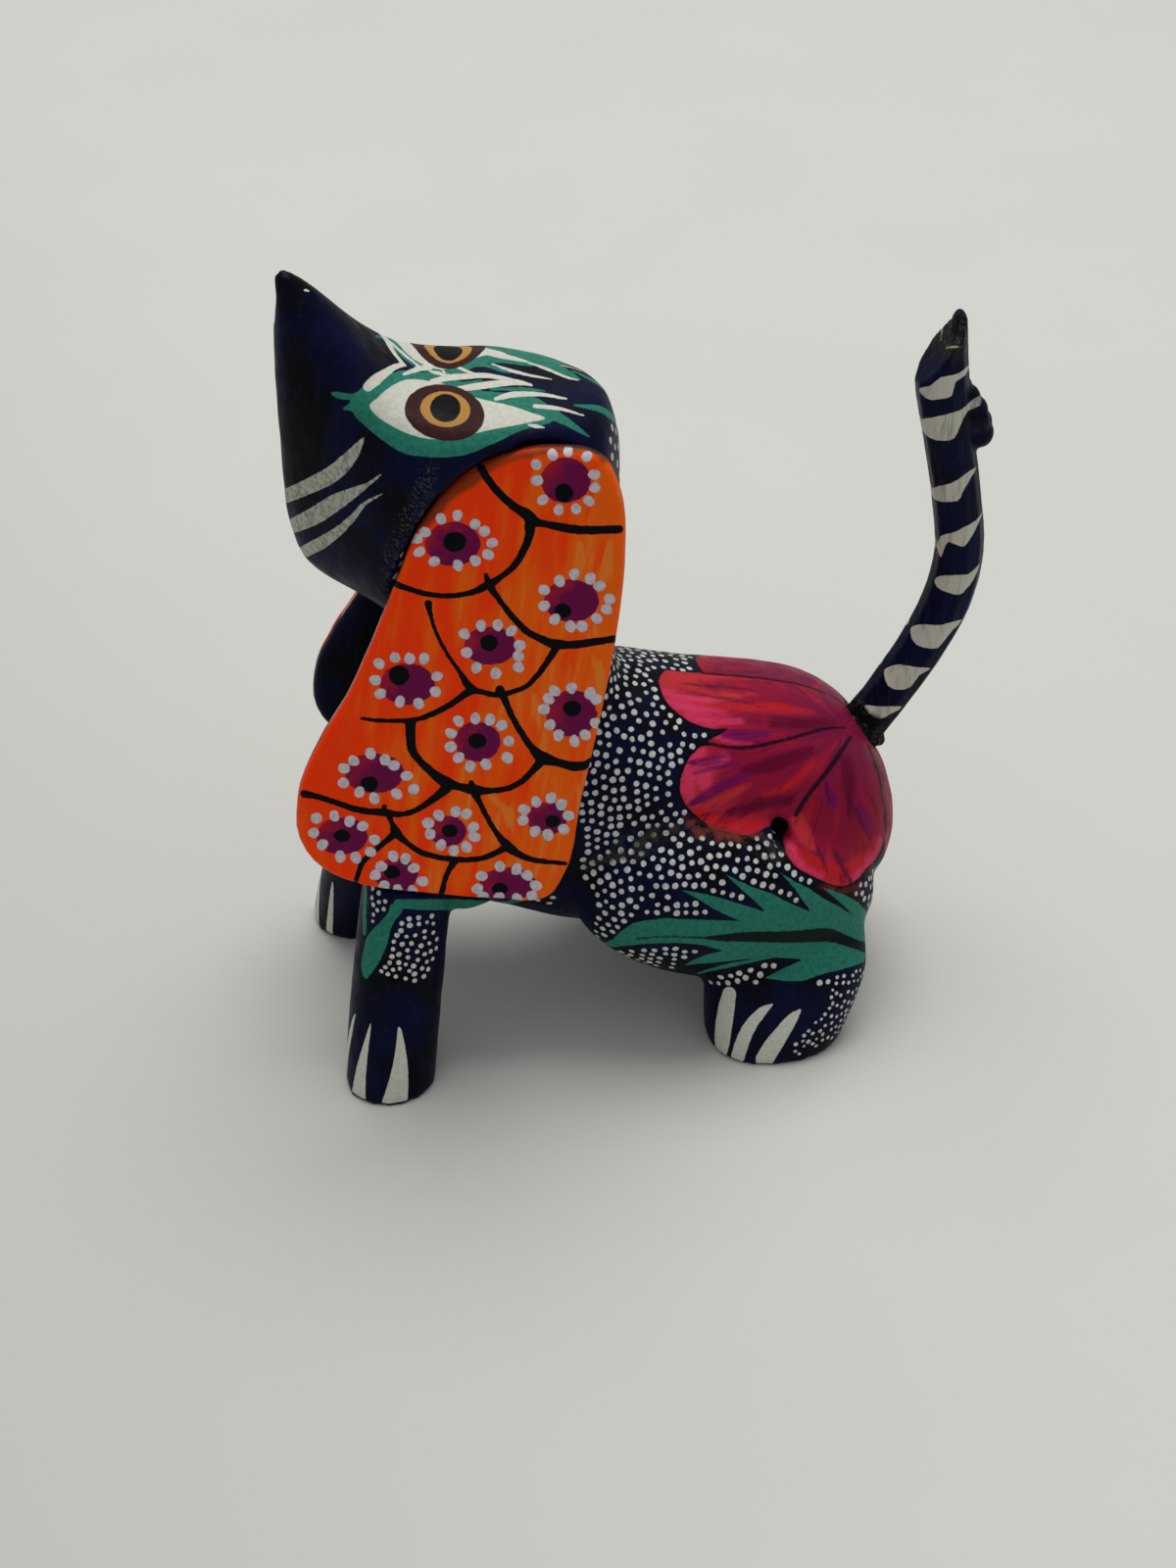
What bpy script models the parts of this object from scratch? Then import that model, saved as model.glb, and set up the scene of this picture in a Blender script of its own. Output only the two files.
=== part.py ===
"""Alebrije figurine: a small carved wooden animal that looks up, with long hanging ears.

Four separate pieces: the body, carved from one piece of wood with its head and legs, a flat
ear let into a seat on each side of the head, and a natural twig pegged into the rump as the
tail. Metres, +Z up. The animal faces -Y, its left side is +X, and its soles stand on z = 0.
"""
import math

import bmesh
import bpy
import numpy as np
from mathutils import Matrix, Vector

# Driving dimensions, in metres
FIGURE_HEIGHT = 0.1022
EAR_THICKNESS = 0.0028
EAR_EDGE_RADIUS = 0.0009
TAIL_DIAMETER = 0.0062
TAIL_PEG_LENGTH = 0.0075
KNOT_HOLE_DIAMETER = 0.0026
KNOT_HOLE_DEPTH = 0.0018
FIT_GAP = 0.0003

# Angles, and the ears' outward lean as a slope
HEAD_TURN = math.radians(10.5)
HAUNCH_TILT = math.radians(-13.0)
EAR_FLARE = 0.088

# The carved form keeps its proportions. Its points are written in millimetres on a figure
# this many millimetres tall, and follow FIGURE_HEIGHT.
FORM_HEIGHT = 102.2
FORM = FIGURE_HEIGHT / FORM_HEIGHT

# Fineness of the carved surface
GRAIN = 0.85 * FORM
SURFACE_SHARE = 0.095
RING_POINTS = 28
RINGS_PER_SECTION = 4

# Head frame: the neck's axis, about which the head is turned to the animal's right
NECK_AXIS = Vector((0.0, -6.0, 0.0))
HEAD_FORWARD = Vector((-math.sin(HEAD_TURN), -math.cos(HEAD_TURN), 0.0))
HEAD_LEFT = Vector((math.cos(HEAD_TURN), -math.sin(HEAD_TURN), 0.0))
UP = Vector((0.0, 0.0, 1.0))

# Torso, chest to rump: y, middle height, half height, half width
TORSO = (
    (-26.0, 33.0, 5.0, 5.0),
    (-23.0, 33.0, 10.5, 8.5),
    (-16.0, 33.5, 15.0, 11.5),
    (-8.0, 32.6, 17.4, 13.3),
    (0.0, 30.8, 18.7, 14.3),
    (8.0, 30.3, 17.7, 14.5),
    (16.0, 29.3, 16.2, 14.5),
    (24.0, 28.0, 15.6, 14.8),
    (31.0, 27.0, 14.3, 14.6),
    (36.0, 25.2, 12.9, 13.6),
    (39.5, 23.6, 10.2, 11.2),
    (42.2, 22.6, 5.4, 6.6),
)

# Neck, shoulders to skull: height, middle y, half width, half depth
NECK = (
    (34.0, -8.0, 12.0, 15.5),
    (41.0, -8.0, 11.8, 15.0),
    (49.0, -6.5, 11.2, 12.8),
    (59.0, -6.0, 10.6, 10.6),
    (69.0, -6.0, 10.6, 10.4),
    (80.0, -6.0, 9.5, 9.5),
)

# Head, nape to keel, in its own frame: forward, bottom, widest height, top, half width,
# power of the lower outline, power of the upper outline
HEAD = (
    (-12.2, 70.0, 75.0, 80.9, 4.2, 2.0, 2.0),
    (-10.9, 65.0, 76.0, 85.7, 7.8, 2.4, 2.2),
    (-8.4, 61.0, 77.0, 87.2, 10.4, 2.8, 2.8),
    (-3.5, 58.5, 77.5, 88.2, 12.2, 3.2, 3.6),
    (2.4, 57.5, 77.0, 89.0, 12.9, 3.4, 4.2),
    (8.2, 58.0, 76.0, 89.1, 12.9, 3.3, 4.2),
    (13.9, 60.5, 74.5, 91.6, 11.9, 3.0, 3.1),
    (18.5, 62.4, 75.5, 96.7, 9.2, 2.6, 2.2),
    (22.3, 63.7, 76.5, 101.0, 6.4, 2.3, 1.9),
    (25.0, 66.0, 77.0, 101.8, 4.3, 2.2, 1.8),
    (26.6, 71.0, 79.0, 95.5, 2.0, 2.0, 1.8),
)
NOSE_NUB = (24.8, 101.0)
NOSE_NUB_RADII = (1.5, 1.3, 1.6)

# Left limbs, top to sole: height, x, y, half width, half length
FRONT_LEG = (
    (33.0, 6.5, -17.5, 5.6, 6.6),
    (26.0, 9.2, -21.8, 5.4, 5.8),
    (14.0, 12.8, -24.4, 5.5, 5.8),
    (5.0, 15.6, -26.0, 5.7, 5.8),
    (-2.0, 16.8, -26.9, 5.8, 5.9),
)
HIND_FOOT = (
    (14.0, 14.2, 26.0, 6.8, 10.2),
    (9.0, 16.4, 25.5, 7.2, 10.6),
    (4.0, 17.5, 24.3, 7.5, 9.8),
    (-2.0, 17.9, 23.3, 7.4, 8.5),
)
HAUNCH_CENTRE = (12.2, 17.9, 20.1)
HAUNCH_RADII = (9.6, 20.5, 12.7)

# Ear outline on its outer face, in the head's frame: forward, height
EAR_OUTLINE = (
    (0.0, 85.5),
    (5.0, 83.3),
    (9.7, 78.2),
    (13.5, 69.8),
    (16.6, 62.2),
    (19.9, 55.0),
    (23.7, 48.4),
    (26.6, 40.8),
    (26.1, 33.6),
    (21.6, 29.4),
    (12.0, 27.2),
    (3.2, 26.2),
    (-2.8, 26.1),
    (-4.8, 28.4),
    (-7.4, 40.2),
    (-9.6, 51.3),
    (-11.7, 64.0),
    (-12.5, 74.0),
    (-11.8, 81.2),
    (-9.5, 85.1),
    (-5.0, 86.0),
)
EAR_TOP = 86.0
EAR_HALF_SPREAD = 12.0

# The right ear is a little shorter and sits lower: its length as a share, and its drop
RIGHT_EAR_SHARE = 0.966
RIGHT_EAR_DROP = 3.4

# Tail twig in the plane x = 0: y, z from where it leaves the rump, and its girth as a share
TAIL_ROOT = (39.0, 34.0)
TAIL_ROOT_DIRECTION = (0.60, 0.80)
TAIL = (
    (41.4, 37.4, 0.98),
    (45.6, 44.4, 1.00),
    (48.8, 51.8, 1.02),
    (49.8, 59.0, 1.00),
    (48.7, 67.0, 0.98),
    (46.8, 76.0, 1.00),
    (45.4, 83.0, 1.04),
    (45.0, 90.0, 0.90),
    (45.6, 95.0, 0.70),
)
TAIL_STEPS = 4
TAIL_CUT_POINT = (45.2, 87.6)
TAIL_CUT_NORMAL = (-0.84, 0.54)
STUB_HEIGHT = 77.0
STUB_LENGTH = 4.9
STUB_RADIUS = 1.9
STUB_DIRECTION = (0.98, 0.18)
STUB_FLARE = 1.35
STUB_SIDES = 10

# Knot hole on the left flank: x, y, z
KNOT_HOLE = (14.5, 24.0, 30.0)


def clear_scene():
    for item in list(bpy.data.objects):
        bpy.data.objects.remove(item, do_unlink=True)


def new_collection(name):
    collection = bpy.data.collections.new(name)
    bpy.context.scene.collection.children.link(collection)
    return collection


def paint(name, colour, roughness):
    material = bpy.data.materials.new(name)
    material.use_nodes = True
    shader = material.node_tree.nodes["Principled BSDF"]
    shader.inputs["Base Color"].default_value = (*colour, 1.0)
    shader.inputs["Roughness"].default_value = roughness
    shader.inputs["Metallic"].default_value = 0.0
    material.diffuse_color = (*colour, 1.0)
    return material


def mesh_object(name, mesh, collection, material=None):
    item = bpy.data.objects.new(name, mesh)
    collection.objects.link(item)
    if material:
        mesh.materials.append(material)
    return item


def as_cutter(item):
    item.hide_render = True
    item.display_type = "WIRE"
    return item


def curve_to_mesh(curve_object, collection):
    """The curve as a welded mesh object that takes the curve's name and place."""
    bpy.context.view_layer.update()
    depsgraph = bpy.context.evaluated_depsgraph_get()
    mesh = bpy.data.meshes.new_from_object(curve_object.evaluated_get(depsgraph))
    place = curve_object.matrix_world.copy()
    name = curve_object.name
    bpy.data.objects.remove(curve_object, do_unlink=True)
    shape = bmesh.new()
    shape.from_mesh(mesh)
    bmesh.ops.remove_doubles(shape, verts=shape.verts, dist=1e-6)
    bmesh.ops.recalc_face_normals(shape, faces=shape.faces)
    shape.to_mesh(mesh)
    shape.free()
    mesh.materials.clear()
    item = mesh_object(name, mesh, collection)
    item.matrix_world = place
    return item


def add_boolean(item, cutter, operation):
    modifier = item.modifiers.new(f"{operation.lower()} {cutter.name}", "BOOLEAN")
    modifier.operation = operation
    modifier.object = cutter


def smooth_rows(rows, steps):
    """More rows, read from a smooth curve through the given ones."""
    rows = np.array(rows, dtype=float)
    ends = np.vstack([2 * rows[0] - rows[1], rows, 2 * rows[-1] - rows[-2]])
    result = []
    for i in range(len(rows) - 1):
        before, start, end, after = ends[i:i + 4]
        for share in np.arange(steps) / steps:
            result.append(0.5 * (2 * start + (end - before) * share
                                 + (2 * before - 5 * start + 4 * end - after) * share ** 2
                                 + (3 * start - before - 3 * end + after) * share ** 3))
    result.append(rows[-1])
    return result


def add_loft(shape, rings):
    loops = [[shape.verts.new(point * FORM) for point in ring] for ring in rings]
    for lower, upper in zip(loops, loops[1:]):
        for i in range(RING_POINTS):
            j = (i + 1) % RING_POINTS
            shape.faces.new((lower[i], lower[j], upper[j], upper[i]))
    shape.faces.new(list(reversed(loops[0])))
    shape.faces.new(loops[-1])


def rounded(share, power):
    return math.copysign(abs(share) ** (2.0 / power), share)


def ring(centre, across, along, width, reach_up, reach_down, power_up=2.0, power_down=2.0):
    """Points of a rounded outline with unlike upper and lower halves."""
    points = []
    for i in range(RING_POINTS):
        angle = 2.0 * math.pi * i / RING_POINTS
        power = power_up if math.sin(angle) > 0.0 else power_down
        reach = reach_up if math.sin(angle) > 0.0 else reach_down
        points.append(centre + across * (width * rounded(math.cos(angle), power))
                      + along * (reach * rounded(math.sin(angle), power)))
    return points


def add_torso(shape):
    side = Vector((1.0, 0.0, 0.0))
    rings = []
    for y, middle, half_height, half_width in smooth_rows(TORSO, RINGS_PER_SECTION):
        centre = Vector((0.0, y, middle))
        rings.append(ring(centre, side, UP, half_width, half_height, half_height, 2.1, 2.3))
    add_loft(shape, rings)


def add_neck(shape):
    side = Vector((1.0, 0.0, 0.0))
    back = Vector((0.0, 1.0, 0.0))
    rings = []
    for height, y, half_width, half_depth in smooth_rows(NECK, RINGS_PER_SECTION):
        rings.append(ring(Vector((0.0, y, height)), side, back, half_width, half_depth, half_depth))
    add_loft(shape, rings)


def add_head(shape):
    rings = []
    for row in smooth_rows(HEAD, RINGS_PER_SECTION):
        forward, bottom, middle, top, half_width, power_down, power_up = row
        centre = NECK_AXIS + HEAD_FORWARD * forward + UP * middle
        rings.append(ring(centre, HEAD_LEFT, UP, half_width, top - middle, middle - bottom,
                          power_up, power_down))
    add_loft(shape, rings)
    nub = NECK_AXIS + HEAD_FORWARD * NOSE_NUB[0] + UP * NOSE_NUB[1]
    add_ellipsoid(shape, nub, NOSE_NUB_RADII, 0.0)


def add_ellipsoid(shape, centre, radii, tilt):
    """An ellipsoid whose long axis is tilted about X."""
    place = (Matrix.Translation(Vector(centre) * FORM) @ Matrix.Rotation(tilt, 4, "X")
             @ Matrix.Diagonal((*(Vector(radii) * FORM), 1.0)))
    bmesh.ops.create_uvsphere(shape, u_segments=RING_POINTS, v_segments=RING_POINTS // 2,
                              radius=1.0, matrix=place)


def add_limb(shape, sections, side_sign):
    side = Vector((1.0, 0.0, 0.0))
    back = Vector((0.0, 1.0, 0.0))
    rings = []
    for height, x, y, half_width, half_length in smooth_rows(sections, RINGS_PER_SECTION):
        centre = Vector((side_sign * x, y, height))
        rings.append(ring(centre, side, back, half_width, half_length, half_length, 2.2, 2.2))
    add_loft(shape, rings)


def add_haunch(shape, side_sign):
    x, y, z = HAUNCH_CENTRE
    add_ellipsoid(shape, (side_sign * x, y, z), HAUNCH_RADII, HAUNCH_TILT)


def make_body(collection, material):
    """One carved solid: overlapping volumes fused, smoothed and thinned to broad facets."""
    shape = bmesh.new()
    add_torso(shape)
    add_neck(shape)
    add_head(shape)
    for side_sign in (1, -1):
        add_limb(shape, FRONT_LEG, side_sign)
        add_limb(shape, HIND_FOOT, side_sign)
        add_haunch(shape, side_sign)
    bmesh.ops.recalc_face_normals(shape, faces=shape.faces)
    mesh = bpy.data.meshes.new("carved_body")
    shape.to_mesh(mesh)
    shape.free()
    body = mesh_object("carved_body", mesh, collection, material)
    fuse = body.modifiers.new("fuse", "REMESH")
    fuse.mode = "VOXEL"
    fuse.voxel_size = GRAIN
    fuse.use_smooth_shade = True
    soften = body.modifiers.new("soften", "SMOOTH")
    soften.factor = 0.5
    soften.iterations = 4
    thin = body.modifiers.new("thin", "DECIMATE")
    thin.ratio = SURFACE_SHARE
    return body


def ear_place(side_sign):
    """Axes of an ear: forward, up its length and through it, at the top of its outer face."""
    up = (UP - HEAD_LEFT * (side_sign * EAR_FLARE)).normalized()
    through = HEAD_FORWARD.cross(up)
    rotation = Matrix((HEAD_FORWARD, up, through)).transposed().to_4x4()
    top = NECK_AXIS + HEAD_LEFT * (side_sign * EAR_HALF_SPREAD) + UP * EAR_TOP
    return Matrix.Translation(top * FORM) @ rotation


def ear_panel(name, side_sign, inner, outer, grow, edge_radius, collection):
    """A flat panel of the ear's outline between two depths below its outer face."""
    curve = bpy.data.curves.new(name, "CURVE")
    curve.dimensions = "2D"
    curve.fill_mode = "BOTH"
    curve.resolution_u = 4
    spline = curve.splines.new("BEZIER")
    spline.bezier_points.add(len(EAR_OUTLINE) - 1)
    share = 1.0 if side_sign > 0 else RIGHT_EAR_SHARE
    drop = 0.0 if side_sign > 0 else RIGHT_EAR_DROP
    for point, (forward, height) in zip(spline.bezier_points, EAR_OUTLINE):
        point.co = (forward * FORM, ((height - EAR_TOP) * share - drop) * FORM, 0.0)
        point.handle_left_type = "AUTO"
        point.handle_right_type = "AUTO"
    spline.use_cyclic_u = True
    curve.extrude = (inner - outer) / 2 - edge_radius
    curve.bevel_depth = edge_radius
    curve.bevel_resolution = 1
    curve.offset = grow - edge_radius
    item = bpy.data.objects.new(name, curve)
    collection.objects.link(item)
    depth = Matrix.Translation((0.0, 0.0, side_sign * (inner + outer) / 2))
    item.matrix_world = ear_place(side_sign) @ depth
    return curve_to_mesh(item, collection)


def make_ear(name, side_sign, body, collection, cutters, material):
    ear = ear_panel(name, side_sign, EAR_THICKNESS, 0.0, 0.0, EAR_EDGE_RADIUS, collection)
    ear.data.materials.append(material)
    seat = ear_panel(f"{name}_seat", side_sign, EAR_THICKNESS + FIT_GAP, -3.0 * EAR_THICKNESS,
                     FIT_GAP, 0.0, cutters)
    add_boolean(body, as_cutter(seat), "DIFFERENCE")
    return ear


def aligned(point, direction):
    """Place with local Z along a direction of the plane x = 0."""
    y, z = direction
    turn = Vector((0.0, 0.0, 1.0)).rotation_difference(Vector((0.0, y, z)))
    return Matrix.Translation(Vector((0.0, *point)) * FORM) @ turn.to_matrix().to_4x4()


def cylinder(name, place, radius, length, collection, tip_radius=None, segments=24):
    """A cylinder or cone from the place's origin along its Z."""
    shape = bmesh.new()
    bmesh.ops.create_cone(shape, cap_ends=True, segments=segments, radius1=radius,
                          radius2=radius if tip_radius is None else tip_radius, depth=length,
                          matrix=Matrix.Translation((0.0, 0.0, length / 2)))
    mesh = bpy.data.meshes.new(name)
    shape.to_mesh(mesh)
    shape.free()
    item = mesh_object(name, mesh, collection)
    item.matrix_world = place
    return item


def make_tail(body, collection, cutters, material):
    """The twig: a peg in the rump, a bent stem, a broken-off side stub and a slanting tip."""
    root = Vector((0.0, *TAIL_ROOT)) * FORM
    direction = Vector((0.0, *TAIL_ROOT_DIRECTION)).normalized()
    peg_end = root - direction * TAIL_PEG_LENGTH
    stem = [Vector((0.0, y, z)) * FORM for y, z, girth in smooth_rows(TAIL, TAIL_STEPS)]
    girths = [1.0, 1.0] + [girth for y, z, girth in smooth_rows(TAIL, TAIL_STEPS)]
    curve = bpy.data.curves.new("tail", "CURVE")
    curve.dimensions = "3D"
    curve.bevel_depth = TAIL_DIAMETER / 2
    curve.bevel_resolution = 3
    curve.use_fill_caps = True
    spline = curve.splines.new("POLY")
    path = [peg_end, root] + stem
    spline.points.add(len(path) - 1)
    for point, place, girth in zip(spline.points, path, girths):
        point.co = (*place, 1.0)
        point.radius = girth
    item = bpy.data.objects.new("tail", curve)
    collection.objects.link(item)
    tail = curve_to_mesh(item, collection)
    tail.data.materials.append(material)

    stub_y = min(smooth_rows(TAIL, TAIL_STEPS), key=lambda row: abs(row[1] - STUB_HEIGHT))[0]
    stub = cylinder("tail_stub", aligned((stub_y, STUB_HEIGHT), STUB_DIRECTION),
                    STUB_RADIUS * STUB_FLARE * FORM, STUB_LENGTH * FORM, cutters,
                    STUB_RADIUS * FORM, STUB_SIDES)
    add_boolean(tail, as_cutter(stub), "UNION")
    tip_cut = cylinder("tail_tip_cut", aligned(TAIL_CUT_POINT, TAIL_CUT_NORMAL),
                       2.5 * TAIL_DIAMETER, 3.0 * TAIL_DIAMETER, cutters)
    add_boolean(tail, as_cutter(tip_cut), "DIFFERENCE")

    socket_place = Matrix.Translation(root - direction * (TAIL_PEG_LENGTH + FIT_GAP))
    turn = Vector((0.0, 0.0, 1.0)).rotation_difference(direction).to_matrix().to_4x4()
    socket = cylinder("tail_socket", socket_place @ turn, TAIL_DIAMETER / 2 + FIT_GAP,
                      2.0 * TAIL_PEG_LENGTH, cutters)
    add_boolean(body, as_cutter(socket), "DIFFERENCE")
    return tail


def cut_soles(body, cutters):
    """Flat soles at z = 0."""
    size = 2.0 * FIGURE_HEIGHT
    shape = bmesh.new()
    bmesh.ops.create_cube(shape, size=size, matrix=Matrix.Translation((0.0, 0.0, -size / 2)))
    mesh = bpy.data.meshes.new("floor_cut")
    shape.to_mesh(mesh)
    shape.free()
    add_boolean(body, as_cutter(mesh_object("floor_cut", mesh, cutters)), "DIFFERENCE")


def cut_knot_hole(body, cutters):
    place = Matrix.Translation(Vector(KNOT_HOLE) * FORM) @ Matrix.Rotation(math.pi / 2, 4, "Y")
    inward = Matrix.Translation((0.0, 0.0, -KNOT_HOLE_DEPTH))
    hole = cylinder("knot_hole", place @ inward, KNOT_HOLE_DIAMETER / 2, 4 * KNOT_HOLE_DEPTH,
                    cutters, segments=12)
    add_boolean(body, as_cutter(hole), "DIFFERENCE")


def centre_on_base(pieces):
    """Parent the pieces to an empty that puts the middle of their box at the origin."""
    origin = bpy.data.objects.new("figure_origin", None)
    bpy.context.scene.collection.objects.link(origin)
    bpy.context.view_layer.update()
    depsgraph = bpy.context.evaluated_depsgraph_get()
    corners = []
    for piece in pieces:
        mesh = piece.evaluated_get(depsgraph).to_mesh()
        corners += [piece.matrix_world @ vertex.co for vertex in mesh.vertices]
    low = [min(corner[axis] for corner in corners) for axis in range(3)]
    high = [max(corner[axis] for corner in corners) for axis in range(3)]
    origin.location = (-(low[0] + high[0]) / 2, -(low[1] + high[1]) / 2, -low[2])
    for item in bpy.data.objects:
        if item is not origin and item.parent is None:
            item.parent = origin
    bpy.context.view_layer.update()


def main():
    clear_scene()
    pieces = new_collection("alebrije_figurine")
    cutters = new_collection("cutters")
    body_paint = paint("navy_paint", (0.012, 0.012, 0.060), 0.42)
    ear_paint = paint("orange_paint", (0.82, 0.10, 0.012), 0.40)
    twig_paint = paint("navy_twig_paint", (0.010, 0.010, 0.045), 0.40)
    body = make_body(pieces, body_paint)
    cut_soles(body, cutters)
    left_ear = make_ear("left_ear", 1, body, pieces, cutters, ear_paint)
    right_ear = make_ear("right_ear", -1, body, pieces, cutters, ear_paint)
    tail = make_tail(body, pieces, cutters, twig_paint)
    cut_knot_hole(body, cutters)
    centre_on_base((body, left_ear, right_ear, tail))


main()
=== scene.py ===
"""Looks of the alebrije figurine: dense carved surfaces with hand-painted ornament.

The painted ornament is laid out as it is seen from the camera, in pixels of the 1200 x 1600
picture, on the animal's left side. The right side carries its mirror image. Each motif
becomes a field of distances on the surface, in millimetres, and the materials turn those
fields into paint.
"""
import math

import bmesh
import bpy
import numpy as np
from mathutils import Matrix, Vector, noise
from mathutils.kdtree import KDTree


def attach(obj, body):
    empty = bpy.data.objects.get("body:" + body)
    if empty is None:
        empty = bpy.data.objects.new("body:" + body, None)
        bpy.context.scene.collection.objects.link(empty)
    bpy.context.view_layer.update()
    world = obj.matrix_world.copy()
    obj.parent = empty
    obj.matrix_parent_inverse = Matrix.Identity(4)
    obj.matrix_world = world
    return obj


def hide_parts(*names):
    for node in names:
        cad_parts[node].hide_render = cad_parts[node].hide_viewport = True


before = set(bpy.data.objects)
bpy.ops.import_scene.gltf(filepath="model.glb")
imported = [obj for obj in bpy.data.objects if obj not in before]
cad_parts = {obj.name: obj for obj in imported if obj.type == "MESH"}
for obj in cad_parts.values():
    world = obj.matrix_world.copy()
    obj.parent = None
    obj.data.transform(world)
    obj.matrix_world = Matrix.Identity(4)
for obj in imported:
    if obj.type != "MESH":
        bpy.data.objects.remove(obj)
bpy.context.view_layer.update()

MM = 0.001

# The camera, in millimetres in the figure's own axes, and the picture it makes
CAMERA_AZIMUTH = math.radians(78.0)
CAMERA_ELEVATION = math.radians(37.0)
CAMERA_DISTANCE = 292.4
CAMERA_TARGET = (13.0, 0.0, 40.0)
CAMERA_FIELD = math.radians(36.0)
PICTURE_WIDTH = 1200
PICTURE_HEIGHT = 1600
MM_PER_PIXEL = 0.119

# The figure's own axes in the frame, and the head's turn about the neck's axis
FIGURE_ORIGIN = np.array((0.025, -8.718, 0.0))
HEAD_TURN = math.radians(10.5)
NECK_AXIS = np.array((0.0, -6.0, 0.0))
HEAD_LEFT = np.array((math.cos(HEAD_TURN), -math.sin(HEAD_TURN), 0.0))
HEAD_FORWARD = np.array((-math.sin(HEAD_TURN), -math.cos(HEAD_TURN), 0.0))
BODY_LEFT = np.array((1.0, 0.0, 0.0))
HEAD_BOTTOM = 57.0
HEAD_MARKS_BOTTOM = 60.0

# The ears: half spread at the top of the outer faces, outward lean, and the right ear's fit
EAR_TOP = 86.0
EAR_HALF_SPREAD = 12.0
EAR_LEAN = 0.088
RIGHT_EAR_SHARE = 0.966
RIGHT_EAR_DROP = 3.4

# The tail's root, its direction there, and lumps as (place, radii): the stub of a side twig
# and the finger left above the slanting cut
TAIL_ROOT_PLACE = np.array((0.0, 39.0, 34.0))
TAIL_ROOT_DIRECTION = np.array((0.0, 0.6, 0.8))
TAIL_LUMPS = (
    ((0.0, 47.8, 81.6), (1.6, 1.4, 1.8)),
    ((0.1, 48.8, 80.0), (1.9, 1.6, 2.0)),
    ((0.0, 49.7, 78.4), (2.0, 1.8, 2.0)),
    ((-0.1, 50.3, 76.8), (2.0, 1.9, 2.0)),
    ((0.0, 50.8, 75.4), (1.9, 1.7, 1.9)),
    ((0.0, 49.4, 74.6), (1.9, 1.7, 1.5)),
    ((0.0, 46.8, 89.7), (1.1, 1.0, 2.3)),
)

# The belly behind the front legs, filled out as (place, radii)
BODY_LUMPS = (((0.0, -15.0, 24.0), (12.4, 8.5, 6.0)),)

# The lumps of glue round the tail's root, where their paint ends, and the bare tip
COLLAR_RADIUS = 2.9
COLLAR_LUMPS = 13
COLLAR_LUMP_RADIUS = 0.85
COLLAR_PAINT_EDGE = (4.6, 4.0)
ROUGH_TIP_HEIGHTS = (86.0, 88.5)

# Fineness of the visible meshes, in millimetres. The body's is finer within reach of the
# edges of its crisp marks
BODY_GRAIN = 0.58
REFINED_REACH = 0.50
CRISP_MARKS = ("petals", "teal", "white", "whiskers", "lines", "rib", "iris", "iris_ring", "pupil")
EAR_GRAIN = 0.27
TAIL_GRAIN = 0.22

# How the meshes are smoothed, and their knife marks and wood grain
FIRST_SMOOTHING = 4
SMOOTHING_PAIRS = 7
BODY_SMOOTHING_PAIRS = 4
SMOOTHING_RUN = 6
KNIFE_REACH = 0.07
KNIFE_SIZE = 3.2
EAR_GRAIN_TILT = math.radians(9.0)

# Distances: the value for far away, in millimetres, and how far off a stroke or an outline
# is measured, in pixels
FAR = 50.0
NEARBY = 30.0
BORDER_REACH = 150.0

# Boxes that hold the marks and dots: low and high corners, in the figure's millimetres
ANY = 500.0
PETALS_BOX = ((-ANY, 5.0, 10.0), (ANY, ANY, ANY))
REAR_PETAL_BOX = ((-ANY, 36.0, 10.0), (ANY, ANY, ANY))
PETAL_LINES_BOX = ((-ANY, 6.0, 12.0), (ANY, ANY, 50.0))
SPINE_LINE_BOX = ((-ANY, 12.5, 30.0), (ANY, ANY, ANY))
LEAF_BOX = ((9.0, -6.0, -ANY), (ANY, ANY, 32.0))
LEG_TEAL_BOX = ((-ANY, -ANY, 10.0), (ANY, -6.0, 30.0))
HIND_CLAWS_BOX = ((-ANY, 8.0, -ANY), (ANY, ANY, 14.0))
KNOT_BOX = ((0.0, 0.0, -ANY), (ANY, ANY, HEAD_BOTTOM))
OWN_REAR_BOX = ((0.0, -8.0, -ANY), (ANY, ANY, 45.0))
KEEL_RED_BOX = ((-ANY, -ANY, 92.5), (ANY, ANY, 98.5))
STUB_BOX = ((-ANY, -ANY, 72.0), (ANY, ANY, 84.0))
FLANK_BOX = ((-ANY, -13.0, 9.0), (ANY, ANY, 52.0))
BELLY_BOX = ((-ANY, -ANY, -ANY), (ANY, ANY, 13.5))
HOCK_BOX = ((-ANY, 20.0, -ANY), (ANY, ANY, 20.0))
HOCK_BACK_BOX = ((-ANY, 18.0, 2.0), (ANY, ANY, 16.0))
FORELEG_BOX = ((-ANY, -ANY, 12.0), (ANY, -14.0, 40.0))
NAPE_BOX = ((-ANY, -ANY, 52.0), (ANY, ANY, 84.0))
NECK_BACK_BOX = ((-ANY, -ANY, 52.0), (ANY, ANY, 76.0))

# Limits of the normal's cosine: to the camera, forward, backward and upward
SEEN_FROM = 0.02
KEEL_FORWARD = 0.2
HOCK_BACKWARD = 0.5
NAPE_BACKWARD = 0.1
NECK_BACKWARD = 0.55
FLANK_DOWNWARD = -0.62
BELLY_DOWNWARD = -0.2

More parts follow.
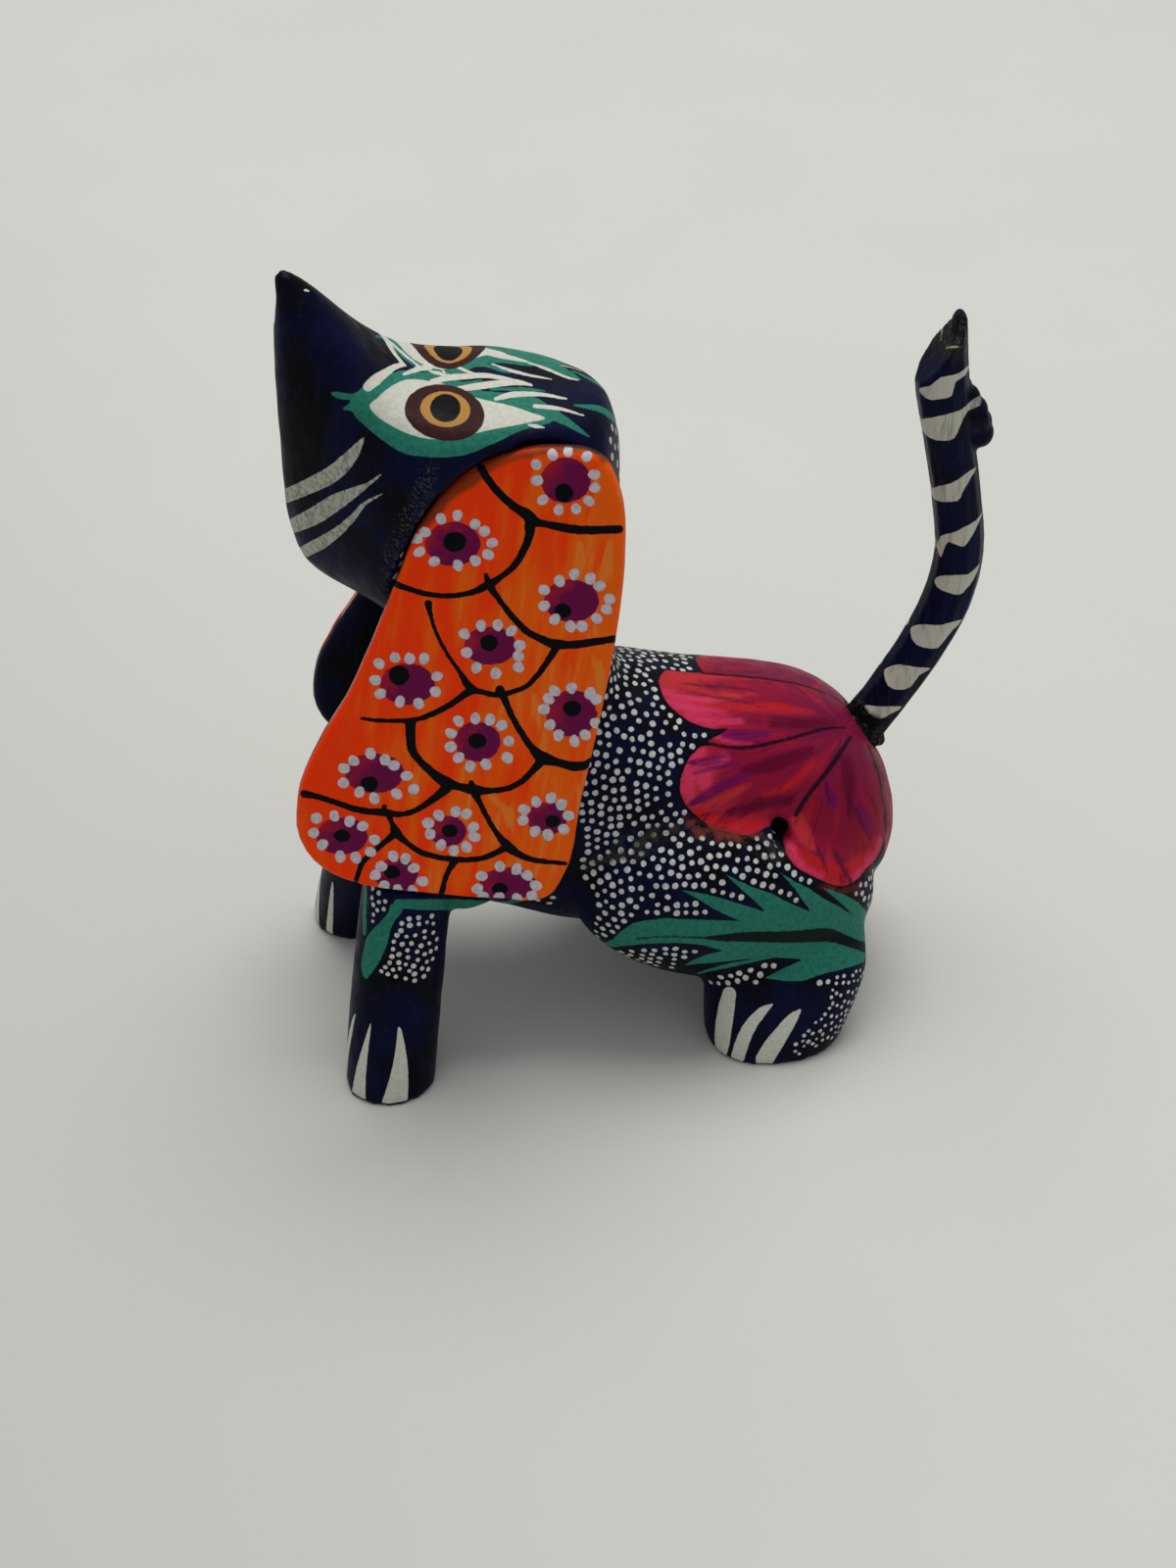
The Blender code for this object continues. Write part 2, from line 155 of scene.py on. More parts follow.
# Eye: outlines are closed, and strokes are (x, y, half width)
EYE_TEAL = ((336, 401), (346, 400), (358, 402), (366, 399), (374, 391), (382, 389), (394, 382),
            (403, 380), (412, 378), (430, 380), (452, 384), (476, 391), (500, 402), (540, 416),
            (566, 429), (536, 438), (526, 442), (512, 449), (494, 457), (479, 463), (464, 466),
            (450, 467), (432, 466), (417, 464), (403, 458), (390, 449), (379, 440), (366, 429),
            (358, 419), (349, 418), (358, 409), (346, 407))
EYE_WHITE = ((377, 414), (384, 407), (394, 398), (403, 392), (412, 388), (424, 387), (439, 389),
             (454, 392), (466, 397), (481, 404), (499, 409), (521, 414), (539, 420), (557, 427),
             (539, 431), (521, 435), (503, 438), (486, 442), (470, 446), (454, 448), (439, 448),
             (424, 445), (410, 440), (397, 433), (384, 424))
IRIS = ((453.6, 421), (41, 28.5), math.radians(10))
IRIS_RING = ((454.5, 417.6), (25.5, 18.2), math.radians(6))
PUPIL = ((454.5, 416.4), (15.5, 14.5), 0.0)
BROW_WHITE = (
    ((375.5, 394.5, 5), (384.5, 387, 5.5), (394, 380, 4), (403, 374.5, 3), (412, 372, 2),
     (421, 372, 1.6)),
    ((545.5, 414.5, 2), (561, 415.5, 2), (575.5, 418, 1.6), (595.5, 424, 0.7)),
    ((539, 433.6, 0.8), (547, 435, 2), (555.5, 436.4, 0.8)),
)
BROW_TEAL = (
    ((481, 400, 2), (512, 405.5, 5), (539, 409, 6), (559, 420, 6), (579, 431, 4), (601, 445.5, 1)),
    ((586, 413.6, 1), (603, 415.5, 2.6), (613.6, 418, 3.2), (623, 424.5, 2.6), (627, 430, 1.2)),
)

# Strokes over the bridge of the nose and the crown, painted where the camera sees them
CROWN_WHITE = (
    ((395.5, 347, 1.1), (406, 356, 1.3), (417, 365.5, 1.2), (429, 374.5, 1)),
    ((408, 350, 0.6), (424.5, 364, 0.9), (439, 373, 0.9), (446, 376, 0.7)),
    ((415.5, 353, 0.5), (432, 363, 0.7), (446, 373, 0.9), (457, 383, 0.7)),
    ((457, 369, 0.8), (470, 376, 1.6), (488, 383, 0.8)),
    ((412, 382, 1.5), (428, 376, 2.8), (439, 375.5, 2.2)),
    ((439, 379, 1), (448, 381, 1.8), (458, 385, 1)),
    ((441, 389, 2.4), (457, 385.5, 3), (475.5, 384, 3), (494, 383, 2.6), (512, 385.5, 2),
     (526, 388, 0.8)),
    ((466, 397, 2.4), (484.5, 394.5, 3.5), (503, 392, 3.5), (526, 390, 3), (543, 393, 1)),
    ((506, 407, 2), (521, 403, 3), (539, 402, 2.6), (557, 403, 1.8), (578, 407, 1)),
    ((501, 371, 0.6), (521, 378, 1.5), (541, 383, 1.3), (563, 387, 0.5)),
    ((539, 370, 0.6), (557, 376, 1.4), (575.5, 384, 1.2), (591, 388, 0.5)),
    ((492, 357, 3), (508, 362, 3), (525, 366, 2), (538, 369, 0.8)),
)
FAR_LID = ((484, 351, 1.5), (500, 353, 3), (515, 356, 4), (535, 362, 6), (556, 371, 6), (575, 379, 4),
           (592, 387, 1))
CROWN_TEAL = (
    FAR_LID,
    ((384, 343, 1), (396, 346, 1.6), (403, 351, 3), (421, 364, 4.6), (432, 374.5, 3)),
    ((417, 384, 2), (433, 383, 2.6), (448, 386, 1.6)),
    ((439, 367, 2), (457, 374.5, 4), (481, 383, 2)),
    ((457, 393, 2), (475.5, 392, 2.6), (490, 389, 2)),
    ((479, 374.5, 1), (494, 372, 2), (512, 378, 1.6), (521, 380, 0.8)),
    ((500, 397, 1), (530, 397, 2), (556, 399, 0.8)),
)
WHISKERS = (
    ((292, 506, 7), (320, 494, 8), (340, 483, 8.5), (356, 468, 7), (366, 455, 4), (371, 447, 1)),
    ((293, 539, 7), (320, 527, 9), (342, 513, 8.5), (362, 502, 5), (376, 494, 2), (389, 484, 0.8)),
    ((308, 564, 6), (326, 555, 6.5), (344, 543, 5), (360, 528, 3.4), (372, 514, 2), (390, 504, 0.7)),
)
SNOUT_CHIPS = (((311, 296, 1.2), (315, 297, 1.2)),)
KEEL_RED_HALF_WIDTH = 0.2
CHEEK_DUST = ((440, 478, 8), (425, 520, 12), (408, 560, 14), (400, 600, 11), (388, 630, 7))

# Flower round the tail: the petals' outlines, the dark lines between them and its root
TAIL_ROOT = (863, 742)
PETALS = (
    ((673, 699), (673, 692), (678, 685), (688, 680), (706, 679), (728, 677), (760, 660), (850, 670),
     (880, 720), (863, 742), (840, 743), (812, 752), (780, 760), (740, 762), (722, 758), (732, 751),
     (744, 743), (730, 744), (716, 741), (702, 735), (690, 726), (680, 716)),
    ((720, 761), (710, 766), (702, 776), (697, 788), (694, 800), (695, 812), (700, 821), (708, 830),
     (720, 840), (728, 846), (744, 849), (760, 852), (772, 850), (782, 844), (800, 838), (812, 831),
     (836, 798), (860, 764), (863, 742), (824, 747), (780, 760), (740, 762)),
    ((872, 736), (858, 752), (846, 784), (824, 812), (806, 834), (800, 852), (800, 862), (804, 874),
     (812, 884), (824, 891), (836, 897), (848, 902), (862, 904), (876, 896), (884, 886), (894, 876),
     (900, 862), (903, 846), (903, 820), (899, 790), (892, 742)),
)
PETAL_LINES = (
    ((722, 758, 1.4), (740, 762, 2), (760, 763, 2.2), (780, 760, 2), (812, 752, 2), (840, 744, 1.8),
     (862, 742, 1)),
    ((868, 752, 1.6), (860, 764, 2.4), (848, 782, 2.6), (824, 812, 2.4), (812, 831, 2.6)),
    ((886, 760, 1.2), (892, 776, 1.3), (898, 796, 1.3), (903, 834, 1.3), (904, 850, 1.0)),
)
PETALS_BOTTOM = 915
SPINE_LINE_HALF_WIDTH = 0.24
SPINE_LINE_MARGIN = 0.3
REAR_PETAL_CENTRE = (0.0, 25.0)
REAR_PETAL_RADII = (11.2, 11.5)
FAR_PETAL_SHIFT = 6.2
FAR_PETAL_RANGE = (16.4, 36.0)
FAR_PETAL_BAND = 6.0
# Knot hole: a shallow dent, painted black inside as painted shade for the hole's depth
KNOT_HOLE = (795, 842)
KNOT_RADIUS = 8.5
KNOT_DEPTH = 1.1
KNOT_SLOPE = 0.7

# Colours brushed over the petals, as strokes
PETAL_PINK_STROKES = (
    ((677, 706, 3), (700, 712, 3.4), (730, 716, 1.4)),
    ((683, 716, 4), (706, 723, 4.4), (744, 726, 1.6)),
    ((700, 729, 4.4), (722, 736, 5), (756, 736, 1.6)),
    ((716, 768, 5), (704, 784, 8), (701, 804, 8), (708, 818, 5)),
    ((740, 772, 5), (718, 790, 9), (722, 806, 7)),
    ((806, 862, 3), (816, 882, 4), (838, 895, 3)),
    ((872, 896, 3), (890, 876, 4), (899, 856, 2)),
    ((730, 752, 2), (745, 756, 3), (765, 758, 1)),
)
PETAL_PURPLE_STROKES = (
    ((740, 750, 4), (758, 750, 7), (782, 750, 4)),
    ((706, 778, 2), (730, 773, 3.4), (752, 768, 1.6)),
    ((708, 789, 2), (734, 783, 3.2), (762, 777, 1.4)),
    ((707, 819, 3), (732, 804, 6.5), (768, 789, 2)),
    ((872, 812, 2), (884, 836, 4), (890, 858, 2)),
    ((842, 800, 2), (850, 816, 5), (850, 832, 2)),
)
PETAL_CORAL_STROKES = (
    ((680, 694, 7), (704, 688, 8), (740, 686, 6), (780, 692, 2)),
    ((724, 822, 4), (744, 812, 5), (766, 801, 2)),
    ((814, 838, 8), (822, 854, 7), (830, 866, 3)),
    ((716, 714, 4), (744, 710, 4), (772, 708, 1)),
)
PETAL_RED_STROKES = (
    ((704, 826, 4), (728, 838, 7), (756, 844, 6), (780, 840, 4)),
    ((812, 872, 7), (836, 884, 8), (862, 890, 7), (884, 872, 5)),
    ((740, 722, 4), (790, 722, 5), (830, 728, 2)),
    ((780, 812, 3), (806, 800, 4), (830, 780, 2)),
)
PETAL_DARK_STROKES = (
    ((762, 786, 5), (790, 780, 9), (826, 766, 5)),
    ((746, 830, 3), (778, 820, 7), (806, 816, 4)),
    ((790, 738, 5), (824, 738, 6), (850, 738, 3)),
    ((862, 776, 5), (866, 800, 6), (868, 830, 3)),
    ((828, 866, 1.4), (836, 880, 1.8), (842, 894, 1.2)),
    ((854, 870, 1.4), (862, 884, 1.8), (870, 898, 1.2)),
)
PETAL_CREASES = (
    ((831, 858, 1), (837, 872, 2.2), (845, 890, 1)),
    ((850, 866, 1), (858, 882, 2.4), (868, 899, 1)),
    ((866, 812, 1), (878, 836, 3), (888, 858, 1.4)),
    ((842, 796, 1), (846, 816, 2.4), (846, 834, 1)),
    ((690, 697, 0.6), (730, 700, 1.3), (780, 706, 0.8)),
    ((688, 706, 0.6), (726, 710, 1.6), (770, 718, 0.8)),
)

# Leaf on the haunch, with straight-edged teeth, and what lies on it
LEAF = ((608, 966), (626, 958), (634, 950), (646, 942), (660, 939), (680, 937), (702, 938), (730, 939),
        (756, 940), (742, 934), (726, 926), (710, 916), (694, 908), (718, 912), (734, 916), (750, 921),
        (766, 926), (782, 931), (772, 921), (758, 909), (740, 892), (756, 900), (770, 906), (790, 913),
        (802, 920), (828, 931), (820, 920), (812, 908), (796, 890), (810, 899), (826, 907), (840, 917),
        (856, 925), (870, 934), (875, 939), (866, 929), (853, 917), (838, 905), (850, 909), (864, 914),
        (876, 921), (884, 930), (889, 940), (887, 960), (885, 970), (881, 982), (870, 986), (856, 990),
        (842, 993), (830, 997), (820, 1001), (800, 1001), (780, 998), (790, 993), (802, 987), (820, 979),
        (794, 977), (768, 978), (750, 980), (730, 982), (698, 985), (710, 978), (722, 974), (738, 970),
        (715, 964), (690, 962), (660, 963), (630, 966))
LEAF_STROKES = (((712, 993, 0.8), (745, 985, 2), (790, 976, 1)),)
MIDRIB = ((650, 958, 0.8), (670, 956, 1), (690, 956, 1), (718, 957, 1.4), (738, 957, 3.6), (760, 956, 5),
          (780, 956, 5.6), (810, 956, 6.2), (838, 954, 7), (850, 955, 6.6),
          (866, 961, 5.2), (884, 967, 5))
MIDRIB_MARGIN = 1.0
# Olive smudges along the crease between the torso and the haunch, partly painted shade in the crease that
# dims the dots there
CREASE_SMUDGES_AND_SHADE = (
    ((600, 884, 5), (625, 872, 8), (650, 862, 15), (684, 847, 6), (700, 842, 4)),
    ((700, 842, 6), (730, 850, 7), (760, 858, 6), (780, 864, 11), (792, 872, 8)),
)
RED_SMEARS = (
    ((702, 837, 4), (714, 847, 6), (734, 853, 5), (758, 855, 3), (776, 852, 1)),
    ((838, 904, 1), (862, 910, 2.6), (882, 903, 1)),
)
BARE_CORNERS = (
    ((590, 848, 8), (582, 880, 13), (580, 905, 18), (592, 925, 18), (600, 960, 6)),
    ((500, 925, 10), (540, 930, 12), (575, 936, 10)),
)

# Legs: claws, teal stripes, and the places that carry dots
HIND_CLAWS = (
    ((744, 1014, 7), (741, 1030, 8.4), (738, 1050, 8.4), (737, 1066, 7), (739, 1077, 2)),
    ((788, 1025, 1), (778, 1032, 4.6), (766, 1046, 6.4), (758, 1062, 7), (753, 1078, 7)),
    ((817, 1030, 1), (808, 1040, 5.6), (798, 1054, 7.6), (788, 1068, 9), (780, 1081, 9)),
)
LEG_TEAL = ((400, 922), (411, 928), (404, 938), (398, 949), (396, 960), (389, 978), (379, 993),
            (373, 999), (369, 989), (370, 974), (374, 958), (380, 949), (389, 940), (396, 931))
LEG_TEAL_STROKES = (
    ((373, 903, 1.5), (372, 930, 2), (372, 953, 1.5)),
    ((406, 922, 4.5), (430, 923, 5.5), (460, 923, 5.5), (480, 923.5, 5), (500, 923.5, 4.2),
     (512, 923, 3), (524, 920, 2), (540, 917, 0.6)),
)
LEG_DOTS = (((384, 912, 8), (386, 926, 8), (380, 944, 4)),)
LEG_DOT_PATCH = ((404, 931), (414, 928), (436, 929), (445, 944), (448, 962), (442, 980), (435, 993),
                 (426, 1002), (412, 1001), (396, 997), (381, 992), (386, 980), (396, 966), (400, 948))
HOCK_DOTS = ((868, 1000, 14), (860, 1020, 13), (854, 1036, 11), (838, 1052, 10), (815, 1070, 7))
HAUNCH_DOTS_BOTTOM = 1003
NAPE_DOTS = ((628, 440, 8), (632, 456, 9), (628, 478, 8))
FRONT_FOOT = (16.4, -26.5)
FRONT_FOOT_RADIUS = 5.8
FRONT_CLAW_ANGLES = (5.0, 53.0, 98.0, 131.0)
FRONT_CLAW_LEANS = (-26.0, 0.0, 0.0, 18.0)
FRONT_CLAW_TOP = 11.0
FRONT_CLAW_BOTTOM = 0.5
FRONT_CLAW_TAPER = 0.55
FRONT_CLAW_HALF_WIDTHS = (1.75, 1.2, 1.2, 0.6)

# White dots of the body: spacing and radius in millimetres, on flanks, legs, nape and hocks,
# then their rows along the borders and how uneven they are
BODY_SEED = 7
DOT_FLANK = (1.05, 0.375)
DOT_LEG = (0.80, 0.30)
DOT_NAPE = (1.75, 0.46)
DOT_HOCK = (0.79, 0.26)
DOT_ROW = 1.22
DOT_ROWS_END = 40.0
DOT_ROW_SLANT = 0.6
DOT_MARGIN = 0.62
DOT_JITTER = 0.35
DOT_SIZES = (0.82, 1.12)
ROOT_CLEARANCE = 6.0

# Ear: blossoms as (centre, half sizes), (seed centre, half sizes) and the dots round them.
# Their colour turns along the lean, and the ground's warmth over the span
BLOSSOMS = (
    (((577, 490), (25.5, 23)), ((575.6, 503), (9.6, 9.6)),
     ((580, 461), (599, 466), (606, 484), (607, 498), (601, 511), (588, 519), (570, 520), (554, 510),
      (548, 490), (547, 474), (564, 464))),
    (((462, 555), (28, 22.5)), ((464, 553), (11.6, 10.4)),
     ((450, 529), (467, 526), (485, 535), (494, 542), (502, 554), (498, 566), (485, 572), (467, 577),
      (443, 573), (428, 563), (425, 550), (434, 543))),
    (((583, 613), (28, 21.5)), ((574, 623), (8.8, 7.6)),
     ((586, 586), (571, 593), (555, 602), (555, 618), (566, 632), (582, 639), (594, 639), (609, 631),
      (619, 622), (622, 611), (612, 598), (602, 590))),
    (((500, 659), (27, 19.5)), ((499, 656), (9.4, 8)),
     ((474, 647), (491, 638), (508, 638), (522, 644), (530, 658), (529, 670), (529, 681), (506, 687),
      (486, 681), (476, 666))),
    (((416, 698), (28, 21)), ((407, 689), (10.4, 10.4)),
     ((387, 677), (403, 671), (418, 672), (433, 672), (446, 690), (383, 694), (388, 708), (408, 716),
      (427, 718), (444, 706))),
    (((583, 728), (26, 24)), ((584, 723), (9.6, 8)),
     ((583, 702), (602, 707), (609, 714), (566, 705), (560, 713), (555, 724), (561, 740), (570, 750),
      (586, 756), (597, 750), (608, 738))),
    (((487, 757), (23.5, 20.5)), ((487, 756), (9.5, 8)),
     ((468, 736), (485, 733), (500, 734), (512, 740), (519, 756), (518, 773), (496, 780), (480, 782),
      (468, 773), (460, 762), (460, 748))),
    (((382, 789), (30, 20.5)), ((377, 800), (9, 7.6)),
     ((378, 769), (393, 775), (402, 781), (415, 792), (422, 805), (405, 810), (382, 815), (367, 808),
      (350, 799), (351, 784), (361, 776))),
    (((558, 835), (20.5, 17)), ((564, 838), (8, 6.5)),
     ((562, 814), (547, 818), (535, 826), (534, 837), (546, 848), (559, 852), (575, 846), (580, 832),
      (573, 821))),
    (((457, 848), (19, 16)), ((459, 848), (8.4, 6.6)),
     ((448, 832), (465, 828), (476, 831), (483, 844), (484, 854), (476, 864), (463, 868), (450, 862),
      (439, 851), (437, 840))),
    (((349, 853), (26, 19)), ((349, 853), (8.6, 6.4)),
     ((341, 833), (357, 838), (370, 843), (382, 857), (378, 869), (363, 875), (347, 874), (329, 862),
      (320, 850), (323, 835))),
    (((404, 893), (22, 17)), ((400, 890), (9, 7)),
     ((401, 874), (414, 876), (422, 886), (431, 899), (421, 909), (406, 908), (392, 904), (383, 893),
      (389, 884))),
    (((518, 902), (29, 17)), ((510, 907), (8.4, 6)),
     ((510, 884), (527, 887), (538, 893), (547, 904), (543, 914), (528, 917), (509, 916), (493, 915),
      (487, 907), (491, 894))),
)
RING_DOT_RADII = (6.1, 5.3)
BLOSSOM_LEAN = np.array((0.8, 0.6))
EAR_WARMTH = ((450.0, 640.0), (220.0, 600.0))
SCALE_LINES = (
    ((491, 478, 4.4), (500, 492, 4), (512, 506, 4), (526, 518, 4.5), (538, 525, 6), (544, 532, 6)),
    ((542, 532, 7), (552, 534, 3.8), (568, 537, 4.2), (584, 540, 4.5), (600, 541, 4.5), (632, 540, 4.2)),
    ((541, 536, 6), (540, 548, 4.5), (534, 562, 4), (526, 576, 3.6), (512, 588, 3), (498, 597, 4.5),
     (480, 605, 3), (460, 608, 2.8), (440, 607, 2.8), (420, 602, 3), (401, 595, 3.4)),
    ((496, 587, 2.4), (500, 598, 4), (508, 610, 3), (520, 626, 3.2), (536, 643, 3.6), (552, 652, 3.8),
     (566, 657, 5), (584, 658, 4.2), (600, 656, 4.2), (627, 652, 3.6)),
    ((437, 616, 4), (440, 630, 2.2), (446, 648, 2), (458, 670, 2), (468, 684, 2.2), (480, 702, 4.4),
     (492, 706, 2.8), (508, 709, 3), (532, 703, 2.6), (546, 692, 2.8), (558, 676, 3.4), (568, 660, 4)),
    ((369, 733, 1.6), (384, 735, 2), (420, 735, 2.6), (440, 729, 3), (458, 720, 3.2), (472, 710, 3.8),
     (481, 704, 5)),
    ((510, 704, 4.6), (516, 716, 3.6), (522, 730, 3.2), (532, 748, 3.4), (542, 762, 3.8),
     (553, 773, 6.5), (570, 778, 4.2), (584, 782, 5), (596, 781, 4.4), (603, 775, 2.4)),
    ((419, 738, 5.6), (419, 750, 5), (420, 764, 4.6), (428, 776, 3.8), (442, 789, 4.6), (456, 799, 6),
     (470, 803, 4), (484, 806, 5.6), (500, 807, 3.2), (520, 804, 3), (534, 796, 3.2), (544, 786, 3.8),
     (553, 776, 5)),
    ((310, 810, 4), (324, 813, 3), (340, 818, 3), (360, 825, 3.4), (376, 828, 3.4), (392, 829, 4),
     (408, 831, 3), (424, 827, 3), (440, 817, 3.6), (456, 804, 5.6)),
    ((392, 823, 2.6), (392, 829, 3)),
    ((481, 799, 3), (484, 808, 4.4), (490, 820, 3), (498, 836, 2.8), (508, 852, 3), (519, 864, 5),
     (530, 872, 3.6), (546, 878, 2.8), (577, 881, 2)),
    ((396, 830, 3.6), (400, 840, 2.6), (404, 849, 5), (414, 859, 3), (428, 869, 3), (444, 874, 2.8),
     (464, 877, 3), (484, 877, 2.8), (500, 873, 3), (518, 864, 3.8)),
    ((404, 850, 4.4), (392, 860, 3), (380, 870, 3), (370, 880, 2.8), (366, 890, 2.6), (363, 900, 2.6)),
    ((464, 878, 4), (456, 892, 2.8), (450, 914, 3)),
)
# Painted shade along the ear's top edge under the head's overhang, mixed with dark grime in the joint
EAR_TOP_SHADE = ((432, 536, 5), (444, 521, 7), (453, 509, 7), (465, 499, 7), (484, 487, 7),
                 (500, 475, 6), (522, 466, 5), (560, 460, 4), (588, 458, 4), (606, 460, 4), (617, 470, 3))
EAR_YELLOW_STREAKS = (
    ((592, 556, 1), (594, 572, 5), (588, 592, 1)),
    ((622, 555, 1), (618, 580, 6), (610, 604, 1)),
    ((604, 668, 1), (612, 690, 6), (614, 714, 1)),
    ((540, 700, 1), (548, 724, 4), (552, 748, 1)),
    ((500, 812, 1), (516, 828, 5), (524, 852, 1)),
    ((590, 800, 1), (594, 840, 6), (592, 880, 2)),
    ((598, 600, 1), (606, 640, 3), (610, 650, 1)),
)
EAR_WORN_EDGE = ((388, 632, 5), (380, 655, 7), (360, 695, 7), (338, 738, 4))

# Tail: white patches
TAIL_PATCHES = (
    ((938, 396), (949, 394), (960, 385), (979, 381), (989, 372), (985, 383), (975, 390), (971, 404),
     (961, 407), (949, 408), (941, 403)),
    ((940, 428), (952, 426), (979, 419), (990, 410), (1000, 404), (1000, 414), (988, 419), (979, 436),
     (974, 447), (963, 450), (949, 447), (941, 438)),
    ((949, 499), (971, 493), (982, 486), (997, 476), (988, 492), (982, 503), (977, 511), (961, 512),
     (952, 508)),
    ((956, 558), (960, 547), (971, 544), (982, 539), (996, 531), (1003, 522), (996, 539), (988, 553),
     (981, 558), (968, 553), (963, 561), (960, 569)),
    ((954, 590), (966, 587), (988, 586), (1000, 575), (993, 592), (986, 601), (979, 607), (966, 604),
     (956, 599)),
    ((929, 646), (931, 639), (943, 637), (960, 638), (982, 632), (971, 644), (960, 658), (952, 662),
     (935, 658)),
    ((902, 686), (906, 681), (918, 678), (935, 681), (950, 682), (938, 689), (929, 701), (918, 704),
     (906, 700)),
    ((878, 719), (896, 721), (920, 721), (910, 728), (897, 734), (888, 729)),
)
TIP_SPECKS = (
    ((950, 346, 1), (957, 342, 2.2), (962, 340, 1)),
    ((966, 355, 0.8), (973, 354, 1.2), (979, 354, 0.6)),
)

# Paint colours, linear
NAVY = (0.0022, 0.0036, 0.0265)
NAVY_PALE = (0.0110, 0.0130, 0.0480)
BLACK = (0.0018, 0.0020, 0.0034)
DUST = (0.16, 0.155, 0.135)
WHITE = (0.62, 0.62, 0.54)
WHITE_THIN = (0.46, 0.45, 0.39)
DOT_WHITE = (0.66, 0.68, 0.64)
DOT_THIN = (0.36, 0.38, 0.38)
WHISKER_GREY = (0.46, 0.46, 0.39)
TAIL_WHITE = (0.56, 0.54, 0.46)
TEAL = (0.022, 0.200, 0.140)
TEAL_THIN = (0.020, 0.115, 0.090)
RIB = (0.004, 0.010, 0.009)
BROWN = (0.036, 0.011, 0.009)
GOLD = (0.440, 0.220, 0.050)
PETAL_DEEP = (0.105, 0.002, 0.020)
PETAL_SHADE = (0.075, 0.003, 0.032)
PETAL_MAUVE = (0.175, 0.007, 0.045)
PETAL_MID = (0.260, 0.006, 0.034)
PETAL_PINK = (0.680, 0.040, 0.125)
PETAL_CORAL = (0.510, 0.029, 0.038)
PETAL_RED = (0.480, 0.012, 0.016)
PETAL_PURPLE = (0.145, 0.003, 0.085)
PETAL_LINE = (0.012, 0.002, 0.010)
ORANGE_RED = (0.950, 0.044, 0.001)
ORANGE = (0.900, 0.118, 0.003)
OCHRE = (0.800, 0.240, 0.030)
OLIVE = (0.180, 0.070, 0.010)
# Colour of the painted shade and grime along the ear's top edge
JOINT_GRIME_AND_SHADE = (0.090, 0.030, 0.006)
PURPLE = (0.150, 0.004, 0.060)
WINE = (0.360, 0.009, 0.030)
LILAC = (0.640, 0.590, 0.640)
LILAC_THIN = (0.450, 0.390, 0.440)
WORN_EDGE = (0.400, 0.280, 0.260)
# Olive smudge colour, partly painted shade in the haunch's crease
CREASE_SMUDGE_AND_SHADE = (0.036, 0.033, 0.022)
SMEAR = (0.210, 0.030, 0.026)
BARK = (0.012, 0.011, 0.011)
TAN = (0.400, 0.330, 0.220)
GLUE = (0.090, 0.088, 0.036)
ROSE = (0.220, 0.030, 0.045)

# Streaks of the petals: noise across and along the rays, its layer, detail and roughness
PETAL_STREAKS = ((17.0, 0.13, 0.0, 4.0, 0.66), (4.0, 0.10, 5.0, 2.0, 0.5))

# Brushwork of the petals: field, strokes, colour, softness, cover, and how far it breaks up
PETAL_BRUSHWORK = (
    ("dark", PETAL_DARK_STROKES, PETAL_DEEP, 0.50, 0.90, 1.8),
    ("red", PETAL_RED_STROKES, PETAL_RED, 0.35, 0.90, 1.8),
    ("coral", PETAL_CORAL_STROKES, PETAL_CORAL, 0.35, 0.90, 1.8),
    ("pink", PETAL_PINK_STROKES, PETAL_PINK, 0.45, 0.90, 2.6),
    ("purple", PETAL_PURPLE_STROKES, PETAL_PURPLE, 0.30, 0.85, 1.4),
)
SPECULAR = 0.06

# The floor, with painted shade that darkens it towards the picture's left and bottom, and the light
FLOOR = (0.660, 0.668, 0.625)
FLOOR_SIZE = 4.0
FLOOR_ROUGHNESS = 0.6
FLOOR_PATCHY_SHARE = 0.94
FLOOR_SHADE_SHARE = 0.83
FLOOR_SHADE_WAY = (0.2, -0.98, 0.0)
FLOOR_SHADE_RANGE = (-0.02, 0.14)
ROOM_COLOUR = (0.97, 0.985, 1.0, 1.0)
ROOM_STRENGTH = 0.44
SKYLIGHT_PLACE = (-0.28, 0.10, 1.15)
SKYLIGHT_TARGET = (0.0, 0.0, 0.04)
SKYLIGHT_SIZE = 0.80
SKYLIGHT_POWER = 8.8
SKYLIGHT_COLOUR = (1.0, 0.99, 0.97)


def camera_axes():
    """Right, up and back of the camera, and its place in millimetres."""
    back = np.array((math.sin(CAMERA_AZIMUTH) * math.cos(CAMERA_ELEVATION),
                     -math.cos(CAMERA_AZIMUTH) * math.cos(CAMERA_ELEVATION),
                     math.sin(CAMERA_ELEVATION)))
    right = np.array((math.cos(CAMERA_AZIMUTH), math.sin(CAMERA_AZIMUTH), 0.0))
    up = np.cross(back, right)
    return right, up, back, np.array(CAMERA_TARGET) + back * CAMERA_DISTANCE


def to_picture(points):
    """Pixels at which the camera sees points of the figure, in millimetres."""
    right, up, back, place = camera_axes()
    offset = points - place
    depth = -(offset @ back)
    focal = PICTURE_HEIGHT / 2 / math.tan(CAMERA_FIELD / 2)
    return np.stack((PICTURE_WIDTH / 2 + focal * (offset @ right) / depth,
                     PICTURE_HEIGHT / 2 - focal * (offset @ up) / depth), axis=1)


def facing_camera(points, normals):
    """Cosine between each normal and the way to the camera."""
    way = camera_axes()[3] - points
    return np.einsum("ij,ij->i", normals, way) / np.linalg.norm(way, axis=1)


def make_camera():
    right, up, back, place = camera_axes()
    data = bpy.data.cameras.new("camera")
    data.sensor_width = 36.0
    data.lens = data.sensor_width / 2 / math.tan(CAMERA_FIELD / 2)
    camera = bpy.data.objects.new("camera", data)
    bpy.context.scene.collection.objects.link(camera)
    axes = Matrix(np.stack((right, up, back), axis=1).tolist()).to_4x4()
    camera.matrix_world = Matrix.Translation(Vector((place + FIGURE_ORIGIN) * MM)) @ axes
    bpy.context.scene.camera = camera


